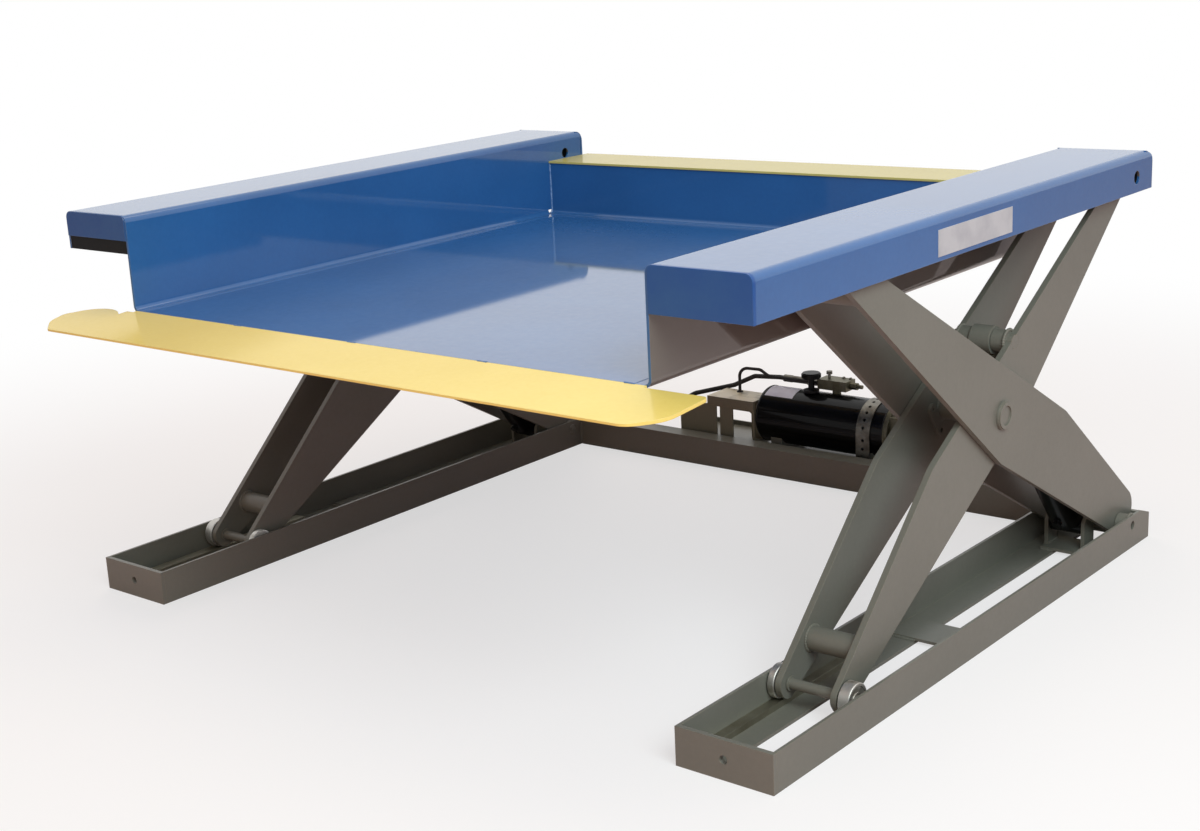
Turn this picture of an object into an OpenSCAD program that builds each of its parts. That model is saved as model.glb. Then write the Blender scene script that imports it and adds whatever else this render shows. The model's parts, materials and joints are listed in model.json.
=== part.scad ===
// Floor-height scissor lift table: a low deck between two side wings, two
// independent scissors, two base frames, a cross tube and a hydraulic unit.
// Millimetres, +Z up, front (approach ramp) toward -Y, origin at the middle
// of the footprint on the floor. The drawn pose is the raised working pose.

/* [Platform] */
// Half of the clear width between the side walls
deck_half = 660; // [560:5:800]
// Length of the deck from its front edge to the back wall
deck_len = 1330; // [1240:5:1360]
// Thickness of the formed platform sheet
sheet_t = 5; // [4:0.5:6]
// Height of the side walls above the deck
wall_h = 195; // [170:5:230]
// Width of each wing over its scissor
wing_w = 202; // [200:2:240]
// Depth of the outer flange of a wing
flange_h = 79; // [66:1:95]
// Height of the back wall above the deck
back_h = 134; // [110:2:160]
// Depth of the ledge behind the back wall
ledge_depth = 155; // [130:5:170]

/* [Ramp] */
// Length of the approach ramp
ramp_len = 165; // [135:5:200]
// Drop of the ramp from the deck to its toe
ramp_drop = 13; // [10:1:16]
// Thickness of the ramp plate
ramp_t = 6; // [5:0.5:8]

/* [Scissors] */
// Distance between the end pivots of an arm
arm_len = 1330; // [1300:5:1345]
// Angle of the arms above the floor in the drawn pose
lift_deg = 34.2; // [28:0.2:42]
// Thickness of the arm plates
plate_t = 12; // [10:0.5:13]
// Radius of the track rollers
roller_r = 31.8; // [26:0.2:34]
// Radius of the centre pin
centre_pin_r = 15; // [12:0.5:18]
// Radius of the end pivot shafts
shaft_r = 12.5; // [10:0.5:15]
// Radius of the roller axles
axle_r = 10; // [8:0.5:12]
// Radial running clearance of the pivots
run_fit = 0.08; // [0.03:0.01:0.1]

/* [Base] */
// Length of a base frame
base_len = 1480; // [1475:5:1560]
// How far a base frame stands out past its wing
base_reach = 16; // [14:1:30]
// Leg width of the angle rails
rail_h = 72; // [65:1:82]
// Thickness of the angle rails
rail_t = 6; // [5:0.5:7]
// Thickness of the end plates
end_t = 10; // [8:0.5:12]
// Radius of the lifting-eye holes in the front plates
eye_hole_r = 8; // [6:0.5:10]

/* [Cylinder] */
// Outer radius of the cylinder barrel
barrel_r = 35; // [29:0.5:38]
// Radius of the chromed rod
rod_r = 20; // [16:0.5:23]
// Radius of the pins at both ends of the cylinder
eye_pin_r = 14; // [11:0.5:16]

/* [Power unit] */
// Radius of the oil tank
tank_r = 72; // [62:1:84]
// Length of the oil tank
tank_len = 370; // [310:5:440]
// Radius of the electric motor
motor_r = 59; // [50:1:68]

/* [Hidden] */
$fn = 48;
eps = 0.01;
// stations along the length, measured from the base front
pivot_y = 1393;
pivot_z = 50;
wing_len = 1470;
track_y0 = 20;
track_y1 = 545;
// power unit on its tray behind the base
tray_z = 43;
tank_y = base_len + tank_r + 20;
tank_z = tray_z + tank_r + 7;
tank_x0 = -165;
tank_x1 = tank_x0 + tank_len;
motor_x = tank_x1 + 54;
tray_half = motor_x + 171;
rear_edge = tank_y + tank_r + 28;
y_mid = (rear_edge - ramp_len) / 2;
// pivots of a scissor in the drawn pose
ca = cos(lift_deg);
sa = sin(lift_deg);
top_z = pivot_z + arm_len * sa;
front_y = pivot_y - arm_len * ca;
mid_y = (pivot_y + front_y) / 2;
mid_z = (pivot_z + top_z) / 2;
// platform heights
wing_z = top_z + 48;
deck_z = wing_z - wall_h;
ledge_z = deck_z + back_h;
bend_r = 10;
nose_r = 14;
tail_r = 25;
// stations across the right side: a and b are the plates of the outer arm,
// c and d those of the inner arm
side_fit = 2;
wing_out = deck_half + wing_w;
base_in = deck_half + 24;
base_out = wing_out + base_reach;
b_in = base_in + rail_t + 4;
b_out = b_in + plate_t;
d_in = b_out + side_fit;
d_out = d_in + plate_t;
a_out = wing_out - 16;
a_in = a_out - plate_t;
c_out = a_in - side_fit;
c_in = c_out - plate_t;
mid_x = (d_out + c_in) / 2;
track_top = pivot_z - roller_r - 0.2;
track_under = top_z + roller_r + 0.2;
// half heights of the arm plates at the rollers and at the platform pivot
roller_end = roller_r - 6.8;
hub_end = 25;
boss_r = 23;
spacer_s = arm_len - 95;
// hydraulic cylinder between the base and the inner arm
eye_s = arm_len / 2 - 131;
eye_t = 62;
eye_y = pivot_y - eye_s * ca - eye_t * sa;
eye_z = top_z - eye_s * sa + eye_t * ca;
foot_y = 1315;
foot_z = 62;
cyl_deg = atan2(eye_z - foot_z, foot_y - eye_y);
cyl_len = norm([eye_z - foot_z, foot_y - eye_y]);
barrel_len = cyl_len - 234;
piston_z = 229;
rod_eye_r = 27.5;
rod_eye_w = 42;
socket_z = cyl_len - rod_eye_r - 0.5;
// valve block, pump port and the lines from them
valve_x0 = -20;
valve_x1 = 62;
valve_z = tank_z + tank_r + 9;
valve_top = valve_z + 25;
screw_x = valve_x0 + 22;
screw_y = tank_y + 22;
port_x = tank_x1 + 29;
port_y = tank_y + 38;
port_z = tank_z + 65;
hose_r = 6;
hose_y = tank_y + 26;
hose_z = tank_z + tank_r + 18;
hose_bend = 24;
clip_y = base_len + hose_r + 3;
clip_z = 40;
clip_x = [base_in - 19, base_in - 79];
left_line = [[valve_x0 - 90, hose_y, hose_z], [-150, hose_y, hose_z], [-226, hose_y, hose_z - 6],
  [-292, hose_y + 1, 174], [-420, hose_y, 136], [154 - base_in, clip_y, 58],
  [94 - base_in, clip_y, clip_z], [-base_in - 16, clip_y, clip_z]];
right_line = [[port_x, port_y, port_z], [port_x, port_y, port_z + 30],
  [port_x + 196, port_y + 4, port_z + 17], [base_in - 154, clip_y, 60],
  [base_in - 94, clip_y, clip_z], [base_in + 16, clip_y, clip_z]];
cable_r = 4;
cable_x = -256;
cable_y = tank_y;
cable_line = [[cable_x, cable_y, 130], [cable_x, cable_y, 231], [-196, tank_y + 7, 231],
  [-172, tank_y + 9, valve_z + 13], [valve_x0, tank_y + 9, valve_z + 13]];

steel_grey = [0.47, 0.47, 0.42];
blue = [0.2, 0.4, 0.68];
yellow = [0.95, 0.86, 0.4];
bright = [0.75, 0.76, 0.78];
black = [0.08, 0.08, 0.09];
alloy = [0.62, 0.6, 0.52];

function unit(v) = v / norm(v);

// ---- helpers -----------------------------------------------------------

// Box given by its low and high corners.
module block(lo, hi) {
  translate(lo) cube(hi - lo);
}

// Round bar along X.
module bar_x(y, z, x0, x1, r) {
  translate([x0, y, z]) rotate([0, 90, 0]) cylinder(h = x1 - x0, r = r);
}

// Tube along X.
module tube_x(y, z, x0, x1, ro, ri) {
  difference() {
    bar_x(y, z, x0, x1, ro);
    bar_x(y, z, x0 - 1, x1 + 1, ri);
  }
}

// Copies on the right and the left side.
module both_sides() {
  children();
  mirror([1, 0, 0]) children();
}

// Convex outline with a true arc of radius r[i] at each corner p[i]; the arcs
// stand 0.02 proud so that they cross the straight edges cleanly.
module rounded_outline(p, r) {
  n = len(p);
  q = [for (i = [0:n - 1])
    let (a = unit(p[(i + n - 1) % n] - p[i]), b = unit(p[(i + 1) % n] - p[i]))
    let (d = r[i] / tan(acos(a * b) / 2))
    each [p[i] + a * d, p[i] + b * d]];
  union() {
    polygon(q);
    for (i = [0:n - 1]) {
      a = unit(p[(i + n - 1) % n] - p[i]);
      b = unit(p[(i + 1) % n] - p[i]);
      translate(p[i] + unit(a + b) * r[i] / sin(acos(a * b) / 2)) circle(r = r[i] + 0.02);
    }
  }
}

// Quarter of a bent sheet: ring sector round c toward the signs in q.
module bend(c, q, ri, t) {
  translate(c) intersection() {
    difference() {
      circle(r = ri + t);
      circle(r = ri);
    }
    translate([q[0] < 0 ? -ri - t - 1 : 0, q[1] < 0 ? -ri - t - 1 : 0])
      square(ri + t + 1);
  }
}

// Extrude a profile drawn in X and Z along the length.
module along_y(y0, y1) {
  translate([0, y1, 0]) rotate([90, 0, 0]) linear_extrude(height = y1 - y0) children();
}

// Extrude a profile drawn in Y and Z across the width.
module along_x(x0, x1) {
  translate([x0, 0, 0]) rotate([90, 0, 90]) linear_extrude(height = x1 - x0) children();
}

// Place an outline drawn along an outer arm, lower pivot at 0, outer face at x.
module on_outer_arm(x, t) {
  multmatrix([[0, 0, -1, x], [-ca, sa, 0, pivot_y], [sa, ca, 0, pivot_z], [0, 0, 0, 1]])
    linear_extrude(height = t) children();
}

// Place an outline drawn along an inner arm, upper pivot at 0, outer face at x.
module on_inner_arm(x, t) {
  multmatrix([[0, 0, -1, x], [-ca, -sa, 0, pivot_y], [-sa, ca, 0, top_z], [0, 0, 0, 1]])
    linear_extrude(height = t) children();
}

// World Y and Z of a point given along and above an arm.
function outer_yz(s, t) = [pivot_y - s * ca + t * sa, pivot_z + s * sa + t * ca];
function inner_yz(s, t) = [pivot_y - s * ca - t * sa, top_z - s * sa + t * ca];

// ---- base frames ---------------------------------------------------------

// Chamfer at the rear top corner of an outer rail.
module rail_chamfer() {
  along_x(base_out - rail_t - 1, base_out + 1)
    polygon([[base_len - 44, rail_h + 1], [base_len + 1, rail_h + 1], [base_len + 1, rail_h - 16],
      [base_len - 44, rail_h]]);
}

module inner_rail() {
  difference() {
    union() {
      block([base_in, end_t, 0], [base_in + rail_t, base_len - end_t, rail_h]);
      block([base_in + rail_t, end_t, 0], [base_in + rail_h, base_len - end_t, rail_t]);
    }
    bar_x(pivot_y, pivot_z, base_in - 1, base_in + rail_t + 1, shaft_r + 0.1);
  }
}

module outer_rail() {
  difference() {
    union() {
      block([base_out - rail_t, end_t, 0], [base_out, base_len, rail_h]);
      block([base_out - rail_h, end_t, 0], [base_out - rail_t, base_len - end_t, rail_t]);
    }
    bar_x(pivot_y, pivot_z, base_out - rail_t - 1, base_out + 1, 9.5);
    rail_chamfer();
  }
}

module inner_rails() {
  color(steel_grey) both_sides() inner_rail();
}

module outer_rails() {
  color(steel_grey) both_sides() outer_rail();
}

// Front plates close the frames and carry one lifting-eye hole each.
module base_front_plates() {
  color(steel_grey) both_sides() difference() {
    block([base_in, 0, 0], [base_out, end_t, rail_h]);
    translate([(base_in + base_out) / 2, -1, rail_h / 2 + 1])
      rotate([-90, 0, 0]) cylinder(h = end_t + 2, r = eye_hole_r);
  }
}

module base_rear_plates() {
  color(steel_grey) both_sides()
    block([base_in, base_len - end_t, 0], [base_out - rail_t, base_len, rail_h - 16]);
}

// Hardened strips under the bottom rollers.
module base_wear_strips() {
  color(bright) both_sides() {
    block([base_in + rail_t, track_y0, rail_t], [d_in + side_fit, track_y1, track_top]);
    block([c_out + side_fit, track_y0, rail_t], [c_out + 28, track_y1, track_top]);
  }
}

// Flat straps tie the two rails of each frame.
module base_straps() {
  color(steel_grey) both_sides()
    block([base_in + 16, 672, rail_t], [base_out - 16, 762, rail_t * 2]);
}

module rear_cross_tube() {
  w = rail_h;
  color(steel_grey) difference() {
    block([-base_in, base_len - 50, 0], [base_in, base_len, w]);
    block([-base_in - 1, base_len - 45, 5], [base_in + 1, base_len - 5, w - 5]);
  }
}

module base_pivot_shafts() {
  color(bright) both_sides()
    bar_x(pivot_y, pivot_z, base_in, base_out - rail_t - 12, shaft_r);
}

module base_pivot_bosses() {
  color(steel_grey) both_sides() {
    tube_x(pivot_y, pivot_z, a_out + 1, base_out - rail_t, boss_r, shaft_r + 0.1);
    tube_x(pivot_y, pivot_z, base_in + rail_t, b_in - 0.5, boss_r, shaft_r + 0.1);
  }
}

// Two lugs on a foot plate carry the lower end of each cylinder.
module cylinder_brackets() {
  lug_in = barrel_r + 2;
  lug_t = 8;
  lug_r = eye_pin_r + 10;
  color(steel_grey) both_sides() {
    difference() {
      union() {
        block([base_in + 40, foot_y - 45, rail_t], [base_out - 40, foot_y + 40, rail_t * 2]);
        for (x = [mid_x - lug_in - lug_t, mid_x + lug_in])
          translate([x, foot_y, 0]) {
            block([0, -lug_r, rail_t * 2 - eps], [lug_t, lug_r, foot_z]);
            bar_x(0, foot_z, 0, lug_t, lug_r);
          }
      }
      bar_x(foot_y, foot_z, mid_x - lug_in - lug_t - 1, mid_x + lug_in + lug_t + 1, eye_pin_r + 0.1);
    }
    for (x = [mid_x - lug_in - lug_t, mid_x + lug_in])
      bar_x(foot_y, foot_z, x, x + lug_t, eye_pin_r);
  }
}

// ---- power unit ------------------------------------------------------------

module power_unit_tray() {
  t = 5;
  color(steel_grey) {
    block([-tray_half, base_len, tray_z - t], [tray_half, rear_edge, tray_z]);
    block([-tray_half, rear_edge - t, tray_z], [tray_half, rear_edge, tray_z + 12]);
    for (x = [-300, 0, 300])
      along_x(x - 4, x + 4)
        polygon([[base_len, 6], [base_len, tray_z - t], [rear_edge - 20, tray_z - t]]);
    // saddles under the tank
    for (x = [tank_x0 + 55, tank_x1 - 51])
      difference() {
        block([x - 16, tank_y - 55, tray_z], [x + 16, tank_y + 55, tank_z - 30]);
        bar_x(tank_y, tank_z, x - 20, x + 20, tank_r + 0.2);
      }
  }
}

module oil_tank() {
  color(black) {
    translate([tank_x0, tank_y, tank_z]) rotate([0, 90, 0]) rotate_extrude() {
      difference() {
        union() {
          translate([0, 8]) square([tank_r, tank_len - 8]);
          square([tank_r - 8, 10]);
          translate([tank_r - 8, 8]) circle(r = 8);
        }
        translate([0, 4]) square([tank_r - 12, 6]);
        translate([-200, -1]) square([200, tank_len + 2]);
        translate([0, 10]) square([tank_r - 4, tank_len - 14]);
      }
    }
  }
}

// Perforated steel strap over the tank, bolted down to the tray on both sides.
module tank_strap() {
  x_mid = tank_x1 - 52;
  x0 = x_mid - 19;
  x1 = x_mid + 19;
  ri = tank_r + 0.2;
  ro = tank_r + 3.2;
  color(bright) difference() {
    union() {
      difference() {
        tube_x(tank_y, tank_z, x0, x1, ro, ri);
        block([x0 - 1, tank_y - 100, tank_z - 100], [x1 + 1, tank_y + 100, tank_z]);
      }
      for (side = [-1, 1]) {
        y = tank_y + side * (ri + ro) / 2;
        block([x0, y - 1.5, tray_z], [x1, y + 1.5, tank_z]);
        block([x0, y - 8 + side * 7.5, tray_z], [x1, y + 8 + side * 7.5, tray_z + 3]);
      }
    }
    for (a = [15:15:165])
      translate([x_mid, tank_y, tank_z]) rotate([a, 0, 0]) translate([0, tank_r - 2, 0])
        rotate([-90, 0, 0]) cylinder(h = 8, r = 4);
    for (z = [tank_z - 12, tank_z - 34])
      translate([x_mid, tank_y - 100, z]) rotate([-90, 0, 0]) cylinder(h = 200, r = 4);
    block([x_mid - 4, tank_y - 100, tank_z - 62], [x_mid + 4, tank_y + 100, tank_z - 50]);
  }
}

module breather_cap() {
  color(black) difference() {
    translate([-34, tank_y - 6, tank_z + 50]) rotate_extrude() {
      square([8, 62]);
      translate([0, tank_r - 50 + 1]) square([20, 6]);
      translate([0, 58]) square([22, 15]);
      translate([0, 61]) square([24, 9]);
    }
    bar_x(tank_y, tank_z, -80, 20, tank_r + 0.1);
  }
}

// Valve block on a short port over the tank.
module valve_block() {
  color(alloy) difference() {
    union() {
      block([valve_x0, tank_y, valve_z], [valve_x1, tank_y + 46, valve_top]);
      translate([28, tank_y + 14, tank_z + 50]) cylinder(h = valve_z - tank_z - 50 + eps, r = 11);
      // needle valve on the right end
      bar_x(tank_y + 24, valve_z + 12, valve_x1 - eps, valve_x1 + 20, 9);
      bar_x(tank_y + 24, valve_z + 12, valve_x1 + 20 - eps, valve_x1 + 34, 5);
    }
    bar_x(tank_y, tank_z, -50, 100, tank_r + 0.1);
    translate([screw_x, screw_y, valve_top - 12]) cylinder(h = 14, r = 3.5 + run_fit);
  }
}

// Thumb screw of the lowering valve.
module valve_knob() {
  color(bright) translate([screw_x, screw_y, valve_top]) {
    translate([0, 0, -11.8]) cylinder(h = 24, r = 3.5);
    difference() {
      translate([0, 0, 11]) cylinder(h = 8, r = 7.5);
      for (a = [0:45:315])
        rotate([0, 0, a]) translate([8.4, 0, 10]) cylinder(h = 10, r = 1.8);
    }
  }
}

// Pump between the tank and the motor.
module pump_body() {
  color(alloy) difference() {
    union() {
      bar_x(tank_y, tank_z, tank_x1, tank_x1 + 12, tank_r);
      block([tank_x1 + 12, tank_y - 55, tray_z], [tank_x1 + 46, tank_y + 55, tank_z + 50]);
      bar_x(tank_y, tank_z, tank_x1 + 46, tank_x1 + 54, motor_r);
    }
    translate([tank_x1 + 29, tank_y - 34, tank_z + 40]) cylinder(h = 20, r = 7);
  }
}

// Electric motor with its terminal box and foot.
module motor() {
  box_x = motor_x + 40;
  box_w = 70;
  color(black) {
    bar_x(tank_y, tank_z, motor_x, motor_x + 150, motor_r);
    bar_x(tank_y, tank_z, motor_x + 150, motor_x + 168, motor_r - 6);
    block([box_x, tank_y - 28, tank_z + motor_r - 6], [box_x + box_w, tank_y + 28, tank_z + motor_r + 34]);
    difference() {
      block([box_x, tank_y - 45, tray_z], [box_x + box_w, tank_y + 45, tank_z - 40]);
      bar_x(tank_y, tank_z, motor_x, box_x + box_w + 10, motor_r - 1);
    }
  }
}

// Round line through the points p with bends of radius b.
module line_through(p, r, b) {
  n = len(p);
  grow = 0.12;
  t = [for (i = [0:n - 1]) i == 0 || i == n - 1 ? 0 :
    b / tan(acos(unit(p[i - 1] - p[i]) * unit(p[i + 1] - p[i])) / 2)];
  for (i = [0:n - 2]) {
    d = unit(p[i + 1] - p[i]);
    lap0 = i == 0 ? 0 : 0.8;
    lap1 = i == n - 2 ? 0 : 0.8;
    translate(p[i] + d * (t[i] - lap0)) rotate([0, acos(d[2]), atan2(d[1], d[0])])
      cylinder(h = norm(p[i + 1] - p[i]) - t[i] - t[i + 1] + lap0 + lap1, r = r, $fn = 24);
  }
  for (i = [1:n - 2]) {
    u = unit(p[i - 1] - p[i]);
    v = unit(p[i + 1] - p[i]);
    h = acos(u * v) / 2;
    c = p[i] + unit(u + v) * b / sin(h);
    x = unit(p[i] + u * t[i] - c);
    z = cross(x, -u);
    multmatrix([[x[0], -u[0], z[0], c[0]], [x[1], -u[1], z[1], c[1]], [x[2], -u[2], z[2], c[2]],
      [0, 0, 0, 1]])
      rotate_extrude(angle = 180 - 2 * h, $fn = 96) translate([b, 0]) circle(r = r + grow, $fn = 24);
  }
}

module hose_fittings() {
  color(bright) {
    // swivel end on the valve block
    bar_x(hose_y, hose_z, valve_x0 - 14, valve_x0, 8);
    translate([valve_x0 - 46, hose_y, hose_z]) rotate([0, 90, 0]) cylinder(h = 32, r = 10, $fn = 6);
    bar_x(hose_y, hose_z, valve_x0 - 90, valve_x0 - 46, 8.5);
    // upright port on the pump
    translate([port_x, port_y, port_z - 15]) cylinder(h = 15, r = 8.5);
    // elbows on the rear plates of the base
    both_sides() difference() {
      block([base_in + 16, base_len, clip_z - 9], [base_in + 34, clip_y + 9, clip_z + 9]);
      translate([base_in + 25, clip_y, clip_z + 9]) cylinder(h = 1, r = 5);
    }
  }
}

// Saddle clips hold both lines to the back of the cross tube.
module hose_clips() {
  color(bright) both_sides() for (x = clip_x) difference() {
    union() {
      tube_x(clip_y, clip_z, x - 6, x + 6, hose_r + 2.9, hose_r + 0.05);
      block([x - 6, base_len, clip_z - 6], [x + 6, base_len + 2, clip_z + 22]);
    }
    bar_x(clip_y, clip_z, x - 7, x + 7, hose_r + 0.05);
    translate([x, base_len - 1, clip_z + 16]) rotate([-90, 0, 0]) cylinder(h = 4, r = 2.5);
  }
}

module hydraulic_hoses() {
  color(black) {
    line_through(left_line, hose_r, hose_bend);
    line_through(right_line, hose_r, hose_bend);
  }
}

// Short control cable from the stand over to the valve line.
module control_cable() {
  color(black) line_through(cable_line, cable_r, hose_bend);
}

// Stand beside the tank with a slot and a window in its front.
module hose_stand() {
  x0 = -401;
  x_top = -310;
  x1 = tank_x0 - 3;
  y0 = base_len + 20;
  y1 = y0 + 90;
  z1 = 166;
  lip = 23;
  color(steel_grey) difference() {
    union() {
      block([x_top, y0, z1 - 5], [x1, y1, z1]);
      block([x_top, y0, z1 - lip], [x1, y0 + 5, z1 - 5]);
      block([x0, y0 + 5, tray_z], [x1, y0 + 9, z1 - lip]);
      block([x_top, y0 + 5, z1 - lip], [x1, y0 + 9, z1 - 5]);
      block([-232, y1 - 4, tray_z], [-182, y1, z1 - 5]);
      block([x0, y0 + 9, tray_z], [x0 + 4, y0 + 60, z1 - lip]);
    }
    block([-286, y0 - 1, tray_z - 1], [-275, y0 + 20, z1 - lip - 4]);
    translate([0, y0 + 20, 0]) rotate([90, 0, 0]) linear_extrude(height = 20)
      rounded_outline([[-235, tray_z + 3], [-174, tray_z + 3], [-174, z1 - lip - 6],
        [-235, z1 - lip - 6]], [3, 3, 12, 3]);
    translate([cable_x, cable_y, z1 - 20]) cylinder(h = 30, r = cable_r + 0.3);
  }
}

// ---- scissor arms ----------------------------------------------------------

module outer_arm_plate(x) {
  tip = arm_len + roller_end + 3;
  half = arm_len / 2;
  on_outer_arm(x, plate_t) difference() {
    rounded_outline([[tip, roller_end], [half - 260, 108], [-52, 74], [-52, -20], [half - 49, -81],
      [tip, -roller_end]], [roller_end - 1, 60, 44, 44, 60, roller_end - 1]);
    circle(r = shaft_r + run_fit);
    translate([arm_len / 2, 0]) circle(r = centre_pin_r + 0.1);
    translate([arm_len, 0]) circle(r = axle_r + run_fit);
  }
}

module outer_arm_tubes() {
  p = outer_yz(spacer_s, 0);
  tube_x(pivot_y, pivot_z, b_out, a_in, 25, shaft_r + run_fit);
  tube_x(p[0], p[1], b_out, a_in, boss_r, boss_r - 5);
}

// Centre pin with its stepped head, held in the outer arm.
module centre_pin() {
  bar_x(mid_y, mid_z, b_in - 5, a_out + 1, centre_pin_r);
  bar_x(mid_y, mid_z, a_out + 0.1, a_out + 5, 28);
  tube_x(mid_y, mid_z, a_out + 5, a_out + 8, 26, 19);
  bar_x(mid_y, mid_z, b_in - 5.5, b_in - 0.1, 24);
}

module inner_arm_plate(x, fit) {
  tip = arm_len + roller_end + 3;
  half = arm_len / 2;
  tail = -hub_end - 3;
  on_inner_arm(x, plate_t) difference() {
    rounded_outline([[tip, roller_end], [half + 225, 100], [tail, hub_end], [tail, -hub_end],
      [half - 25, -84], [tip, -roller_end]],
      [roller_end - 1, 60, hub_end - 1, hub_end - 1, 60, roller_end - 1]);
    circle(r = shaft_r + fit);
    translate([arm_len / 2, 0]) circle(r = centre_pin_r + run_fit);
    translate([arm_len, 0]) circle(r = axle_r + run_fit);
    translate([eye_s, eye_t]) circle(r = eye_pin_r + 0.1);
  }
}

// Cross tubes of an inner arm, the rod pin and the keeper bar of the centre pin.
module inner_arm_tubes(fit) {
  p = inner_yz(spacer_s, 8);
  collar_r = eye_pin_r + 8;
  gap = rod_eye_w / 2 + 1;
  bar_s = arm_len / 2 + 35;
  tube_x(pivot_y, top_z, d_out, c_in, hub_end - 1, shaft_r + fit);
  tube_x(mid_y, mid_z, d_out, c_in, 22, centre_pin_r + run_fit);
  tube_x(p[0], p[1], d_out, c_in, boss_r, boss_r - 5);
  tube_x(eye_y, eye_z, d_out, mid_x - gap, collar_r, eye_pin_r + 0.1);
  tube_x(eye_y, eye_z, mid_x + gap, c_in, collar_r, eye_pin_r + 0.1);
  bar_x(eye_y, eye_z, d_in, c_out, eye_pin_r);
  on_inner_arm(d_out + 6, 6) translate([bar_s, 0]) difference() {
    rounded_outline([[-11, -38], [11, -38], [11, 42], [-11, 42]], [8, 8, 8, 8]);
    translate([0, -27]) circle(r = 5);
    translate([0, 31]) circle(r = 4);
  }
}

module right_outer_arm_plates() {
  color(steel_grey) {
    outer_arm_plate(a_out);
    outer_arm_plate(b_out);
  }
}

module right_outer_arm_tubes() {
  color(steel_grey) outer_arm_tubes();
}

module right_centre_pin() {
  color(bright) centre_pin();
}

module left_outer_arm_plates() {
  color(steel_grey) mirror([1, 0, 0]) {
    outer_arm_plate(a_out);
    outer_arm_plate(b_out);
  }
}

module left_outer_arm_tubes() {
  color(steel_grey) mirror([1, 0, 0]) outer_arm_tubes();
}

module left_centre_pin() {
  color(bright) mirror([1, 0, 0]) centre_pin();
}

module right_inner_arm_plates() {
  color(steel_grey) {
    inner_arm_plate(c_out, run_fit);
    inner_arm_plate(d_out, run_fit);
  }
}

module right_inner_arm_tubes() {
  color(steel_grey) inner_arm_tubes(run_fit);
}

// The left arm rides the platform shaft with the wider clearance of a free pivot.
module left_inner_arm_plates() {
  color(steel_grey) mirror([1, 0, 0]) {
    inner_arm_plate(c_out, 0.4);
    inner_arm_plate(d_out, 0.4);
  }
}

module left_inner_arm_tubes() {
  color(steel_grey) mirror([1, 0, 0]) inner_arm_tubes(0.4);
}

// ---- rollers and axles -----------------------------------------------------

module top_axle() {
  bar_x(front_y, top_z, b_in - 4, a_out + 4, axle_r);
  tube_x(front_y, top_z, b_in - 3.5, b_in - 0.5, 14, axle_r);
  tube_x(front_y, top_z, a_out + 0.5, a_out + 3.5, 14, axle_r);
}

// Crowned roller with a recessed face.
module roller(y, z, x0, x1) {
  w = x1 - x0;
  translate([x0, y, z]) rotate([0, 90, 0]) rotate_extrude() difference() {
    union() {
      translate([axle_r + 0.02, 0]) square([roller_r - axle_r - 2.02, w]);
      translate([axle_r + 0.02, 2]) square([roller_r - axle_r - 0.02, w - 4]);
      for (v = [2, w - 2])
        translate([roller_r - 2, v]) circle(r = 2);
    }
    translate([axle_r + 5, -1]) square([roller_r - axle_r - 11, 2.5]);
    translate([axle_r + 5, w - 1.5]) square([roller_r - axle_r - 11, 2.5]);
  }
}

module top_rollers() {
  roller(front_y, top_z, b_out + 2, b_out + 22);
  roller(front_y, top_z, a_in - 22, a_in - 2);
}

module bottom_axle() {
  bar_x(front_y, pivot_z, base_in + rail_t + 1, c_out + 27, axle_r);
  tube_x(front_y, pivot_z, d_out + 0.5, d_out + 4, 14, axle_r);
  tube_x(front_y, pivot_z, c_in - 4, c_in - 0.5, 14, axle_r);
}

module bottom_rollers() {
  roller(front_y, pivot_z, base_in + rail_t + 2, d_in - 2);
  roller(front_y, pivot_z, c_out + 3, c_out + 25);
}

module right_top_axle() {
  color(bright) top_axle();
}

module right_top_rollers() {
  color(bright) top_rollers();
}

module left_top_axle() {
  color(bright) mirror([1, 0, 0]) top_axle();
}

module left_top_rollers() {
  color(bright) mirror([1, 0, 0]) top_rollers();
}

module right_bottom_axle() {
  color(bright) bottom_axle();
}

module right_bottom_rollers() {
  color(bright) bottom_rollers();
}

module left_bottom_axle() {
  color(bright) mirror([1, 0, 0]) bottom_axle();
}

module left_bottom_rollers() {
  color(bright) mirror([1, 0, 0]) bottom_rollers();
}

// ---- cylinders -------------------------------------------------------------

// Place parts drawn along +Z from the cylinder foot to the rod eye.
module on_cylinder() {
  translate([mid_x, foot_y, foot_z]) rotate([90 - cyl_deg, 0, 0]) children();
}

module cylinder_barrel() {
  on_cylinder() {
    difference() {
      union() {
        translate([0, 0, 20]) cylinder(h = barrel_len - 20, r = barrel_r);
        rotate([0, 90, 0]) cylinder(h = 2 * barrel_r, r = eye_pin_r + 8, center = true);
        // ports
        translate([0, -barrel_r + 3, 48]) rotate([90, 0, 0]) cylinder(h = 12, r = 9);
      }
      rotate([0, 90, 0]) cylinder(h = 2 * barrel_r + 2, r = eye_pin_r + 0.6, center = true);
      translate([0, 0, 34]) cylinder(h = barrel_len, r = barrel_r - 7);
    }
    // gland
    difference() {
      translate([0, 0, barrel_len - 24]) cylinder(h = 24, r = barrel_r - 7);
      translate([0, 0, barrel_len - 25]) cylinder(h = 30, r = rod_r + run_fit);
    }
    difference() {
      translate([0, 0, barrel_len]) cylinder(h = 10, r = barrel_r - 4);
      translate([0, 0, barrel_len - 1]) cylinder(h = 12, r = rod_r + run_fit);
    }
  }
}

// Rod with the piston on its lower end.
module cylinder_rod() {
  on_cylinder() {
    translate([0, 0, piston_z]) cylinder(h = socket_z - piston_z, r = rod_r);
    translate([0, 0, piston_z]) cylinder(h = 16, r = barrel_r - 7.1);
  }
}

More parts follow.
